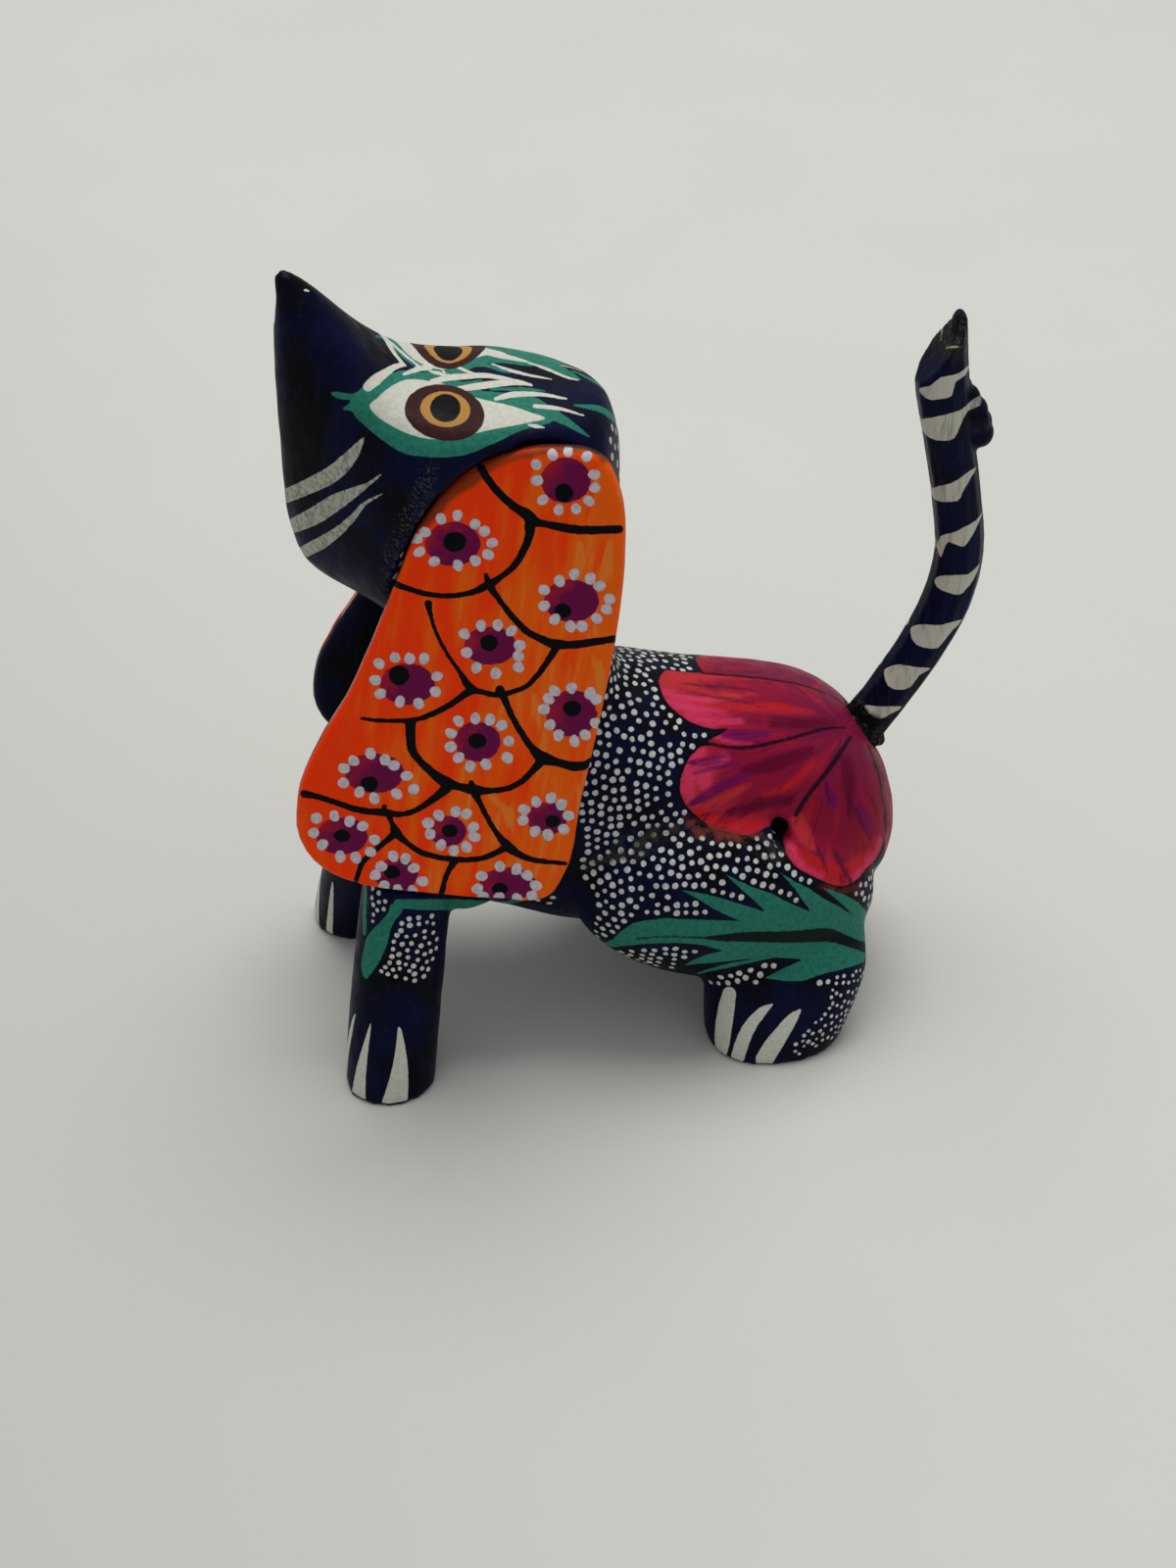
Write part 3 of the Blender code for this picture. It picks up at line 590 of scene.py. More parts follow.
# Distances to painted shapes, negative inside: places are pixels, results are millimetres
def smooth_path(points, steps=6, closed=False):
    """More points, read from a smooth curve through the given ones."""
    points = np.array(points, dtype=float)
    if closed:
        ends = np.vstack([points[-1:], points, points[:2]])
    else:
        ends = np.vstack([2 * points[0] - points[1], points, 2 * points[-1] - points[-2]])
    result = []
    for before, start, end, after in zip(ends, ends[1:], ends[2:], ends[3:]):
        for share in np.arange(steps) / steps:
            result.append(0.5 * (2 * start + (end - before) * share
                                 + (2 * before - 5 * start + 4 * end - after) * share ** 2
                                 + (3 * start - before - 3 * end + after) * share ** 3))
    if not closed:
        result.append(points[-1])
    return np.array(result)


def near(places, path, reach):
    """Numbers of the places that lie within reach of a path's box."""
    low = path[:, :2].min(axis=0) - reach
    high = path[:, :2].max(axis=0) + reach
    return np.flatnonzero(np.all((places > low) & (places < high), axis=1))


def off_segment(places, start, end):
    """Distance to one segment, and how far along it the nearest place is."""
    along = end[:2] - start[:2]
    share = np.clip(((places - start[:2]) @ along) / max(along @ along, 1e-9), 0.0, 1.0)
    gap = places - start[:2] - share[:, None] * along
    return np.hypot(gap[:, 0], gap[:, 1]), share


def off_strokes(places, strokes):
    """Distance to the nearest of some strokes, whose half widths vary along them."""
    result = np.full(len(places), FAR / MM_PER_PIXEL)
    for stroke in strokes:
        path = smooth_path(stroke, 3)
        chosen = near(places, path, NEARBY)
        for start, end in zip(path[:-1], path[1:]):
            distance, share = off_segment(places[chosen], start, end)
            half_width = start[2] + share * (end[2] - start[2])
            result[chosen] = np.minimum(result[chosen], distance - half_width)
    return result * MM_PER_PIXEL


def off_outline(places, outline, steps=3, reach=NEARBY):
    """Distance to a closed outline, negative inside."""
    path = smooth_path(outline, steps, closed=True)
    result = np.full(len(places), FAR / MM_PER_PIXEL)
    chosen = near(places, path, reach)
    some = places[chosen]
    distance = np.full(len(chosen), FAR / MM_PER_PIXEL)
    inside = np.zeros(len(chosen), dtype=bool)
    for start, end in zip(path, np.roll(path, -1, axis=0)):
        distance = np.minimum(distance, off_segment(some, start, end)[0])
        crosses = (start[1] > some[:, 1]) != (end[1] > some[:, 1])
        if end[1] != start[1]:
            reached = start[0] + (some[:, 1] - start[1]) / (end[1] - start[1]) * (end[0] - start[0])
            inside ^= crosses & (some[:, 0] < reached)
    result[chosen] = np.where(inside, -distance, distance)
    return result * MM_PER_PIXEL


def off_ellipse(places, centre, radii, turn=0.0):
    """Distance to an ellipse, in the unit of its radii."""
    offset = places - np.array(centre)
    cosine, sine = math.cos(turn), math.sin(turn)
    across = offset[:, 0] * cosine + offset[:, 1] * sine
    down = -offset[:, 0] * sine + offset[:, 1] * cosine
    return (np.hypot(across / radii[0], down / radii[1]) - 1.0) * min(radii)


def read_vectors(items, name):
    """A vector property of a mesh's points or faces, as rows."""
    values = np.empty(len(items) * 3)
    items.foreach_get(name, values)
    return values.reshape(-1, 3)


class Surface:
    """A dense copy of a CAD node, with its points in the figure's millimetres."""

    def __init__(self, name, node, grain, lumps=(), pairs=SMOOTHING_PAIRS):
        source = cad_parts[node]
        self.node = node
        self.marks = {}
        self.piece = bpy.data.objects.new(name, source.data.copy())
        bpy.context.scene.collection.objects.link(self.piece)
        self.weld_and_add(lumps)
        fuse = self.piece.modifiers.new("fuse", "REMESH")
        fuse.mode = "VOXEL"
        fuse.voxel_size = grain * MM
        self.soften(0.5, FIRST_SMOOTHING)
        for pair in range(pairs):
            self.soften(0.5, SMOOTHING_RUN)
            self.soften(-0.5, SMOOTHING_RUN)
        self.apply_modifiers()
        self.read()
        uneven = [noise.noise(Vector(point) / KNIFE_SIZE) for point in self.points]
        self.push(KNIFE_REACH * np.array(uneven))

    def weld_and_add(self, lumps):
        """Close the shape's seams and add balls, which the remesh fuses with it."""
        shape = bmesh.new()
        shape.from_mesh(self.piece.data)
        bmesh.ops.remove_doubles(shape, verts=shape.verts, dist=1e-6)
        for place, radii in lumps:
            move = Matrix.Translation(Vector((np.array(place) + FIGURE_ORIGIN) * MM))
            stretch = Matrix.Diagonal(Vector((*(radius * MM for radius in radii), 1.0)))
            bmesh.ops.create_icosphere(shape, subdivisions=3, radius=1.0, matrix=move @ stretch)
        shape.to_mesh(self.piece.data)
        shape.free()

    def soften(self, factor, times):
        """Smoothing; a run with a negative factor gives back the size that the last one took."""
        modifier = self.piece.modifiers.new("soften", "SMOOTH")
        modifier.factor = factor
        modifier.iterations = times

    def apply_modifiers(self):
        bpy.context.view_layer.update()
        depsgraph = bpy.context.evaluated_depsgraph_get()
        mesh = bpy.data.meshes.new_from_object(self.piece.evaluated_get(depsgraph))
        self.piece.modifiers.clear()
        self.piece.data = mesh
        mesh.shade_smooth()
        mesh.materials.clear()

    def read(self):
        vertices = self.piece.data.vertices
        self.points = read_vectors(vertices, "co") / MM - FIGURE_ORIGIN
        self.normals = read_vectors(vertices, "normal")

    def push(self, reach):
        """Move each point along its normal by its own reach, in millimetres."""
        places = (self.points + self.normals * reach[:, None] + FIGURE_ORIGIN) * MM
        self.piece.data.vertices.foreach_set("co", places.ravel())
        self.piece.data.update()
        self.read()

    def mark(self, name, values):
        """Keep a field until the mesh is fine enough to store it."""
        self.marks[name] = values

    def refine(self, chosen):
        """Split the faces between chosen points into four."""
        shape = bmesh.new()
        shape.from_mesh(self.piece.data)
        edges = [edge for edge in shape.edges if all(chosen[vertex.index] for vertex in edge.verts)]
        bmesh.ops.subdivide_edges(shape, edges=edges, cuts=1, use_grid_fill=True)
        shape.to_mesh(self.piece.data)
        shape.free()
        self.read()

    def face_centres(self):
        return read_vectors(self.piece.data.polygons, "center") / MM - FIGURE_ORIGIN

    def store(self, name, values, domain="POINT"):
        kind = "FLOAT_VECTOR" if np.ndim(values) == 2 else "FLOAT"
        attribute = self.piece.data.attributes.new(name, kind, domain)
        key = "vector" if kind == "FLOAT_VECTOR" else "value"
        attribute.data.foreach_set(key, np.ascontiguousarray(values, dtype=np.float32).ravel())

    def finish(self, material, slot):
        self.piece.data.materials.append(material)
        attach(self.piece, "root")
        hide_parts(self.node)


def mirrored(points, normals, flip, axis):
    """The points and normals, with those marked mirrored across the plane of the neck's axis."""
    offset = (points - NECK_AXIS) @ axis
    way = normals @ axis
    points = points - np.where(flip, 2 * offset, 0.0)[:, None] * axis
    normals = normals - np.where(flip, 2 * way, 0.0)[:, None] * axis
    return points, normals


def fold_to_left(points, normals):
    """Each point as its twin on the animal's left side: about the head's middle plane above
    the jaw, and about the body's below it."""
    on_head = points[:, 2] > HEAD_BOTTOM
    right_of_head = (points - NECK_AXIS) @ HEAD_LEFT < 0
    points, normals = mirrored(points, normals, on_head & right_of_head, HEAD_LEFT)
    return mirrored(points, normals, ~on_head & (points[:, 0] < 0), BODY_LEFT)


def within(points, box):
    """Which points lie inside a box."""
    low, high = box
    return np.all((points > low) & (points < high), axis=1)


def only(mask, distance):
    """The distance where the mask holds, and far away elsewhere."""
    return np.where(mask, distance, FAR)


def nearest_of(*fields):
    return np.minimum.reduce(fields)


def front_claws(points):
    """Distance to the claws painted round each front foot, in millimetres."""
    x = np.abs(points[:, 0]) - FRONT_FOOT[0]
    y = points[:, 1] - FRONT_FOOT[1]
    angle = np.arctan2(-y, x)
    height = points[:, 2]
    result = np.full(len(points), FAR)
    share = np.clip(1.0 - height / FRONT_CLAW_TOP, 0.0, 1.0)
    for degrees, lean, half_width in zip(FRONT_CLAW_ANGLES, FRONT_CLAW_LEANS, FRONT_CLAW_HALF_WIDTHS):
        middle = np.radians(degrees + lean * (1.0 - share))
        turn = np.mod(angle - middle + math.pi, 2 * math.pi) - math.pi
        claw = np.abs(turn) * FRONT_FOOT_RADIUS - half_width * share ** FRONT_CLAW_TAPER
        result = np.minimum(result, np.maximum(claw, FRONT_CLAW_BOTTOM - height))
    return only(height < FRONT_CLAW_TOP, result)


def place_dots(points, order, spacing):
    """Numbers of the points taken as dot centres in the given order, none within the spacing
    of one taken before."""
    widest = spacing[order].max()
    cells = {}
    taken = []
    for index in order:
        x, y, z = points[index]
        cell = (int(x // widest), int(y // widest), int(z // widest))
        clear = spacing[index] ** 2
        near_ones = (other for i in (-1, 0, 1) for j in (-1, 0, 1) for k in (-1, 0, 1)
                     for other in cells.get((cell[0] + i, cell[1] + j, cell[2] + k), ()))
        if all((x - a) ** 2 + (y - b) ** 2 + (z - c) ** 2 >= clear for a, b, c in near_ones):
            cells.setdefault(cell, []).append((x, y, z))
            taken.append(index)
    return np.array(taken)


def store_dots(surface, centres, sizes):
    """Give each face the two nearest dots' centres and sizes, so that dots are drawn round."""
    tree = KDTree(len(centres))
    for index, centre in enumerate(centres):
        tree.insert(centre, index)
    tree.balance()
    found = np.array([[place[1] for place in tree.find_n(centre, 2)]
                      for centre in surface.face_centres()])
    for name, nearest in (("dot", found[:, 0]), ("next_dot", found[:, 1])):
        surface.store(name + "_centre", (centres[nearest] + FIGURE_ORIGIN) * MM, "FACE")
        surface.store(name + "_radius", sizes[nearest], "FACE")


def petal_fields(surface, points):
    """Store the petals' fields, and give back the distance to the petals and their places.

    The far petals start further back than the near ones, as the photo shows over the spine."""
    y = points[:, 1]
    far_side = surface.points[:, 0] < 0
    front, back = FAR_PETAL_RANGE
    shift = FAR_PETAL_SHIFT * np.clip((back - y) / (back - front), 0.0, 1.0) * far_side
    places = to_picture(points - shift[:, None] * np.array((0.0, 1.0, 0.0)))
    band = far_side & (surface.points[:, 0] > -FAR_PETAL_BAND) & (y < back)
    rump = within(points, PETALS_BOX) & (places[:, 1] < PETALS_BOTTOM)
    petals = [off_outline(places, outline, reach=BORDER_REACH) for outline in PETALS]
    rear = off_ellipse(np.abs(surface.points[:, [0, 2]]), REAR_PETAL_CENTRE, REAR_PETAL_RADII)
    petals = nearest_of(only(rump, nearest_of(*petals)), only(within(points, REAR_PETAL_BOX), rear))
    surface.mark("petals", petals)
    for name, strokes, *ignored in PETAL_BRUSHWORK:
        surface.mark(name, only(rump & ~band, off_strokes(places, strokes)))
    surface.mark("creases", only(rump, off_strokes(places, PETAL_CREASES)))
    ray = places - np.array(TAIL_ROOT)
    reach = np.hypot(ray[:, 0], ray[:, 1]) * MM_PER_PIXEL
    surface.mark("petal_reach", reach * np.where(band, 0.5, 1.0))
    surface.mark("petal_angle", np.arctan2(ray[:, 1], -ray[:, 0]))
    return petals, places


def paint_body_fields():
    """The carved body, with a finer mesh along the edges of its painted marks."""
    surface = Surface("carved_body_painted", "carved_body", BODY_GRAIN, BODY_LUMPS, BODY_SMOOTHING_PAIRS)
    by_knot = within(surface.points, KNOT_BOX)
    hole = off_ellipse(to_picture(surface.points), KNOT_HOLE, (KNOT_RADIUS, KNOT_RADIUS)) / KNOT_RADIUS
    dent = np.clip(-hole, 0.0, KNOT_SLOPE) / KNOT_SLOPE
    surface.push(-KNOT_DEPTH * np.where(by_knot, dent, 0.0))
    # Black in the hole is painted shade, standing for the depth the shallow dent lacks
    surface.store("hole", only(by_knot, hole * KNOT_RADIUS * MM_PER_PIXEL))

    mark_body(surface)
    edges = nearest_of(*(np.abs(surface.marks[name]) for name in CRISP_MARKS))
    surface.refine(edges < REFINED_REACH)
    points, normals, places, petals, teal = mark_body(surface)
    for name, values in surface.marks.items():
        surface.store(name, values)
    place_body_dots(surface, points, normals, places, petals, teal)
    surface.finish(body_paint(), "navy_paint")


def mark_body(surface):
    """Measure a field for each kind of painted mark, and give back what the dots need."""
    points, normals = fold_to_left(surface.points, surface.normals)
    places = to_picture(points)
    own_places = to_picture(surface.points)
    seen = facing_camera(points, normals) > SEEN_FROM
    head = points[:, 2] > HEAD_MARKS_BOTTOM
    crown = head & (facing_camera(surface.points, surface.normals) > 0.0)
    head &= seen
    off_middle = (surface.points - NECK_AXIS) @ HEAD_LEFT

    petals, petal_places = petal_fields(surface, points)
    leaf = nearest_of(off_outline(places, LEAF, 1, BORDER_REACH), off_strokes(places, LEAF_STROKES))
    leaf = only(within(points, LEAF_BOX), leaf)
    leg_teal = nearest_of(off_outline(places, LEG_TEAL), off_strokes(places, LEG_TEAL_STROKES))
    leg_teal = only(within(points, LEG_TEAL_BOX) & seen, leg_teal)
    eye_teal = nearest_of(off_outline(places, EYE_TEAL), off_strokes(places, BROW_TEAL))
    crown_teal = only(crown, off_strokes(own_places, CROWN_TEAL))
    surface.mark("teal", nearest_of(leaf, leg_teal, only(head, eye_teal), crown_teal))

    eye_white = nearest_of(off_outline(places, EYE_WHITE), off_strokes(places, BROW_WHITE))
    far_lid = only(crown & (off_middle < 0), off_strokes(own_places, (FAR_LID,)))
    eye_white = only(head, np.maximum(eye_white, -far_lid))
    crown_white = only(crown, off_strokes(own_places, CROWN_WHITE + SNOUT_CHIPS))
    hind_claws = only(within(points, HIND_CLAWS_BOX) & seen, off_strokes(places, HIND_CLAWS))
    surface.mark("white", nearest_of(eye_white, crown_white, hind_claws, front_claws(surface.points)))

    spine = np.abs(surface.points[:, 0]) - SPINE_LINE_HALF_WIDTH
    spine = only(within(points, SPINE_LINE_BOX) & (petals < SPINE_LINE_MARGIN), spine)
    rump_lines = only(within(points, PETAL_LINES_BOX), off_strokes(petal_places, PETAL_LINES))
    surface.mark("lines", nearest_of(rump_lines, spine))
    own_rear = within(surface.points, OWN_REAR_BOX)
    for name, where, strokes in (("rib", leaf < MIDRIB_MARGIN, (MIDRIB,)), ("whiskers", head, WHISKERS),
                                 ("dust", head, (CHEEK_DUST,)), ("crease_smudge_and_shade", own_rear, CREASE_SMUDGES_AND_SHADE),
                                 ("smear", own_rear, RED_SMEARS)):
        surface.mark(name, only(where, off_strokes(places, strokes)))
    for name, shape in (("iris", IRIS), ("iris_ring", IRIS_RING), ("pupil", PUPIL)):
        surface.mark(name, only(head, off_ellipse(places, *shape) * MM_PER_PIXEL))
    keel = within(surface.points, KEEL_RED_BOX) & (surface.normals @ HEAD_FORWARD > KEEL_FORWARD)
    surface.mark("keel", only(keel, np.abs(off_middle) - KEEL_RED_HALF_WIDTH))
    return points, normals, places, petals, nearest_of(leaf, leg_teal)


def place_body_dots(surface, points, normals, places, petals, teal):
    """White dots in rows that follow the borders of the flower and the leaf."""
    rng = np.random.default_rng(BODY_SEED)
    backward, upward = normals[:, 1], normals[:, 2]
    flank = within(points, FLANK_BOX) & (upward > FLANK_DOWNWARD)
    flank &= ~(within(points, BELLY_BOX) & (upward < BELLY_DOWNWARD))
    flank &= (places[:, 1] < HAUNCH_DOTS_BOTTOM) & (off_strokes(places, BARE_CORNERS + RED_SMEARS) > 0)
    hock = (off_strokes(places, (HOCK_DOTS,)) < 0) & within(points, HOCK_BOX)
    hock |= within(points, HOCK_BACK_BOX) & (backward > HOCK_BACKWARD)
    leg = nearest_of(off_strokes(places, LEG_DOTS), off_outline(places, LEG_DOT_PATCH)) < 0
    leg &= within(points, FORELEG_BOX)
    nape = within(points, NAPE_BOX) & (backward > NAPE_BACKWARD)
    neck_back = within(points, NECK_BACK_BOX) & (backward > NECK_BACKWARD)
    nape &= (off_strokes(places, (NAPE_DOTS,)) < 0) | neck_back
    spacing = np.full(len(points), DOT_FLANK[0])
    radius = np.full(len(points), DOT_FLANK[1])
    for zone, (gap, size) in ((leg, DOT_LEG), (nape, DOT_NAPE), (hock, DOT_HOCK)):
        spacing[zone] = gap
        radius[zone] = size
    border = np.minimum(petals, teal)
    allowed = (flank | hock | leg | nape) & (border > DOT_MARGIN)
    allowed &= np.linalg.norm(surface.points - TAIL_ROOT_PLACE, axis=1) > ROOT_CLEARANCE
    row = np.floor((np.minimum(border, DOT_ROWS_END) - DOT_MARGIN) / DOT_ROW)
    jitter = rng.uniform(0.0, DOT_JITTER, len(points))
    order = np.lexsort((points[:, 1] + DOT_ROW_SLANT * points[:, 2] + jitter, row))
    taken = place_dots(surface.points, order[allowed[order]], spacing)
    store_dots(surface, surface.points[taken], radius[taken] * rng.uniform(*DOT_SIZES, len(taken)))


def paint_ear_fields(name, node, on_right):
    """An ear with fields for its scales, blossoms and worn edges."""
    surface = Surface(name, node, EAR_GRAIN)
    points = surface.points
    if on_right:
        everywhere = np.ones(len(points), dtype=bool)
        points = mirrored(points, surface.normals, everywhere, HEAD_LEFT)[0]
        points[:, 2] = EAR_TOP + (points[:, 2] - EAR_TOP + RIGHT_EAR_DROP) / RIGHT_EAR_SHARE
    spread = (points - NECK_AXIS) @ HEAD_LEFT
    places = to_picture(points)
    blossom, seeds, dots = (np.full(len(points), FAR) for field in range(3))
    tint = np.zeros(len(points))
    for (centre, sizes), (seed, seed_sizes), ring in BLOSSOMS:
        shape = off_ellipse(places, centre, sizes) * MM_PER_PIXEL
        tint = np.where(shape < blossom, (places - np.array(centre)) @ BLOSSOM_LEAN / sizes[0], tint)
        blossom = np.minimum(blossom, shape)
        seeds = np.minimum(seeds, off_ellipse(places, seed, seed_sizes) * MM_PER_PIXEL)
        for dot in ring:
            turn = math.atan2(dot[1] - centre[1], dot[0] - centre[0])
            dots = np.minimum(dots, off_ellipse(places, dot, RING_DOT_RADII, turn) * MM_PER_PIXEL)
    for field, values in (("blossom", blossom), ("seeds", seeds), ("ring_dots", dots), ("tint", tint)):
        surface.store(field, values)
    for field, strokes in (("lines", SCALE_LINES), ("top_shade", (EAR_TOP_SHADE,)),
                           ("yellow", EAR_YELLOW_STREAKS), ("worn", (EAR_WORN_EDGE,))):
        surface.store(field, off_strokes(places, strokes))
    surface.store("depth", EAR_HALF_SPREAD + EAR_LEAN * (EAR_TOP - points[:, 2]) - spread)
    warmth_from, warmth_span = EAR_WARMTH
    surface.store("warmth", ((places - np.array(warmth_from)) / np.array(warmth_span)).sum(axis=1))
    surface.finish(ear_paint(), "orange_paint")


def collar_lumps():
    """Balls of glue and paint round the tail's root."""
    across = np.cross(TAIL_ROOT_DIRECTION, BODY_LEFT)
    lumps = []
    for index in range(COLLAR_LUMPS):
        angle = 2 * math.pi * index / COLLAR_LUMPS
        uneven = noise.noise(Vector((1.7 * index, 0.3, 0.9)))
        way = BODY_LEFT * math.cos(angle) + across * math.sin(angle)
        place = TAIL_ROOT_PLACE + way * COLLAR_RADIUS + TAIL_ROOT_DIRECTION * (0.5 * uneven - 0.2)
        lumps.append((tuple(place), (COLLAR_LUMP_RADIUS * (1.0 + 0.35 * uneven),) * 3))
    return lumps


def paint_tail_fields():
    surface = Surface("tail_painted", "tail", TAIL_GRAIN, list(TAIL_LUMPS) + collar_lumps())
    points = mirrored(surface.points, surface.normals, surface.points[:, 0] < 0, BODY_LEFT)[0]
    places = to_picture(points)
    surface.store("white", nearest_of(*(off_outline(places, outline, 2) for outline in TAIL_PATCHES)))
    surface.store("specks", off_strokes(places, TIP_SPECKS))
    surface.store("height", surface.points[:, 2])
    surface.store("root", np.linalg.norm(surface.points - TAIL_ROOT_PLACE, axis=1))
    stub = [(np.linalg.norm((surface.points - np.array(place)) / np.array(radii), axis=1) - 1.0) * radii[0]
            for place, radii in TAIL_LUMPS]
    surface.store("stub", only(within(surface.points, STUB_BOX), nearest_of(*stub)))
    surface.finish(tail_paint(), "navy_twig_paint")


class Paint:
    """A painted material built from nodes, as colours laid one over another."""

    def __init__(self, name):
        self.material = bpy.data.materials.new(name)
        self.material.use_nodes = True
        self.tree = self.material.node_tree
        self.shader = self.tree.nodes["Principled BSDF"]
        self.place = self.node("TexCoord").outputs["Object"]
        self.colour = BLACK

    def node(self, kind, *values):
        """A new node, with values for its first inputs."""
        node = self.tree.nodes.new("ShaderNode" + kind)
        for socket, value in zip(node.inputs, values):
            self.set_input(socket, value)
        return node

    def set_input(self, socket, value):
        if isinstance(value, bpy.types.NodeSocket):
            self.tree.links.new(value, socket)
        elif isinstance(value, tuple) and len(value) == 3 and socket.type == "RGBA":
            socket.default_value = (*value, 1.0)
        else:
            socket.default_value = value

    def math(self, operation, first, second=0.0, third=0.0):
        node = self.node("Math", first, second, third)
        node.operation = operation
        return node.outputs[0]

    def times(self, first, second):
        return self.math("MULTIPLY", first, second)

    def rest(self, share):
        """What a share leaves of the whole."""
        return self.math("SUBTRACT", 1.0, share)

    def highest(self, first, *others):
        for other in others:
            first = self.math("MAXIMUM", first, other)
        return first

    def vector(self, operation, first, second=(0.0, 0.0, 0.0)):
        node = self.node("VectorMath", first, second)
        node.operation = operation
        return node.outputs["Value" if operation in ("LENGTH", "DOT_PRODUCT") else "Vector"]

    def field(self, name, output="Fac"):
        node = self.node("Attribute")
        node.attribute_name = name
        return node.outputs[output]

    def noise(self, per_mm, detail=2.0, roughness=0.5, along=1.0, tilt=0.0):
        """Noise with a number of features per millimetre, and a share of it along Z, tilted
        about the X axis."""
        place = self.place
        if tilt:
            turn = self.node("VectorRotate", place)
            turn.rotation_type = "X_AXIS"
            turn.inputs["Angle"].default_value = tilt
            place = turn.outputs[0]
        mapping = self.node("Mapping", place)
        scale = per_mm / MM
        mapping.inputs["Scale"].default_value = (scale, scale, scale * along)
        return self.plain_noise(mapping.outputs[0], detail, roughness)

    def plain_noise(self, vector, detail=2.0, roughness=0.5):
        node = self.node("TexNoise", vector)
        node.inputs["Scale"].default_value = 1.0
        node.inputs["Detail"].default_value = detail
        node.inputs["Roughness"].default_value = roughness
        return node.outputs["Fac"]

    def ramp(self, value, low, high, low_result=0.0, high_result=1.0):
        node = self.node("MapRange", value, low, high, low_result, high_result)
        node.interpolation_type = "SMOOTHSTEP"
        return node.outputs[0]

    def sway(self, value, tone, reach):
        """A value moved up and down by a tone that runs from nought to one."""
        return self.math("MULTIPLY_ADD", self.math("SUBTRACT", tone, 0.5), reach, value)

    def wobbly(self, distance, reach=0.10, per_mm=1.3):
        """A distance whose zero line wavers like the edge of a brush stroke."""
        return self.sway(distance, self.noise(per_mm), 2.0 * reach)

    def mask(self, distance, softness):
        """One inside the shape and nought outside."""
        return self.ramp(distance, softness, -softness)

    def shape(self, name, reach, softness, per_mm=1.3):
        """The mask of a stored field, with a wavering edge."""
        return self.mask(self.wobbly(self.field(name), reach, per_mm), softness)

    def mix(self, below, above, share):
        node = self.tree.nodes.new("ShaderNodeMix")
        node.data_type = "RGBA"
        for name, value in (("Factor", share), ("A", below), ("B", above)):
            socket = next(s for s in node.inputs
                          if s.name == name and s.enabled and s.type in ("RGBA", "VALUE"))
            self.set_input(socket, value)
        return next(s for s in node.outputs if s.enabled)

    def lay(self, colour, share, cover=1.0):
        """Lay a colour over the paint so far."""
        if cover < 1.0:
            share = self.times(share, cover)
        self.colour = self.mix(self.colour, colour, share)

    def bump(self, height, reach_mm, below=None):
        node = self.tree.nodes.new("ShaderNodeBump")
        node.inputs["Strength"].default_value = 1.0
        node.inputs["Distance"].default_value = reach_mm * MM
        self.set_input(node.inputs["Height"], height)
        if below:
            self.set_input(node.inputs["Normal"], below)
        return node.outputs[0]

    def finish(self, roughness, normal):
        self.set_input(self.shader.inputs["Base Color"], self.colour)
        self.set_input(self.shader.inputs["Roughness"], roughness)
        self.set_input(self.shader.inputs["Normal"], normal)
        self.shader.inputs["Specular IOR Level"].default_value = SPECULAR
        return self.material


def navy_ground(paint):
    """Blue-black paint with brush marks."""
    tone = paint.ramp(paint.noise(0.14, 3.0), 0.36, 0.62)
    streak = paint.ramp(paint.noise(1.1, 3.0, along=0.22), 0.52, 0.78)
    return paint.mix(paint.mix(BLACK, NAVY, tone), NAVY_PALE, paint.times(streak, 0.25))


def streaked(paint, colour, thin, amount):
    """A stroke colour with uneven cover."""
    uneven = paint.ramp(paint.noise(1.7, 3.0), 0.38, 0.70)
    return paint.mix(colour, thin, paint.times(uneven, amount))


def lay_petals(paint, petals):
    """Crimson petals with brushed patches, streaked from the root to the tips."""
    reach = paint.field("petal_reach")
    angle = paint.field("petal_angle")
    streaks, broad = (
        paint.plain_noise(paint.node("CombineXYZ", paint.times(angle, across), paint.times(reach, along),
                                     layer).outputs[0], detail, roughness)
        for across, along, layer, detail, roughness in PETAL_STREAKS)
    shifted = paint.sway(reach, streaks, 12.0)
    ground = paint.colour
    paint.colour = paint.mix(PETAL_MAUVE, PETAL_MID, paint.ramp(shifted, 3.0, 12.0))
    paint.lay(PETAL_RED, paint.ramp(broad, 0.50, 0.68), 0.5)
    paint.lay(PETAL_CORAL, paint.ramp(shifted, 14.0, 21.0), 0.8)
    for name, ignored, colour, softness, cover, break_up in PETAL_BRUSHWORK:
        paint.lay(colour, paint.mask(paint.sway(paint.field(name), streaks, break_up), softness), cover)
    paint.lay(PETAL_DEEP, paint.ramp(streaks, 0.45, 0.33), 0.65)
    creases = paint.mask(paint.sway(paint.field("creases"), streaks, 0.7), 0.15)
    paint.lay(PETAL_SHADE, creases, 0.75)
    paint.colour = paint.mix(ground, paint.colour, petals)


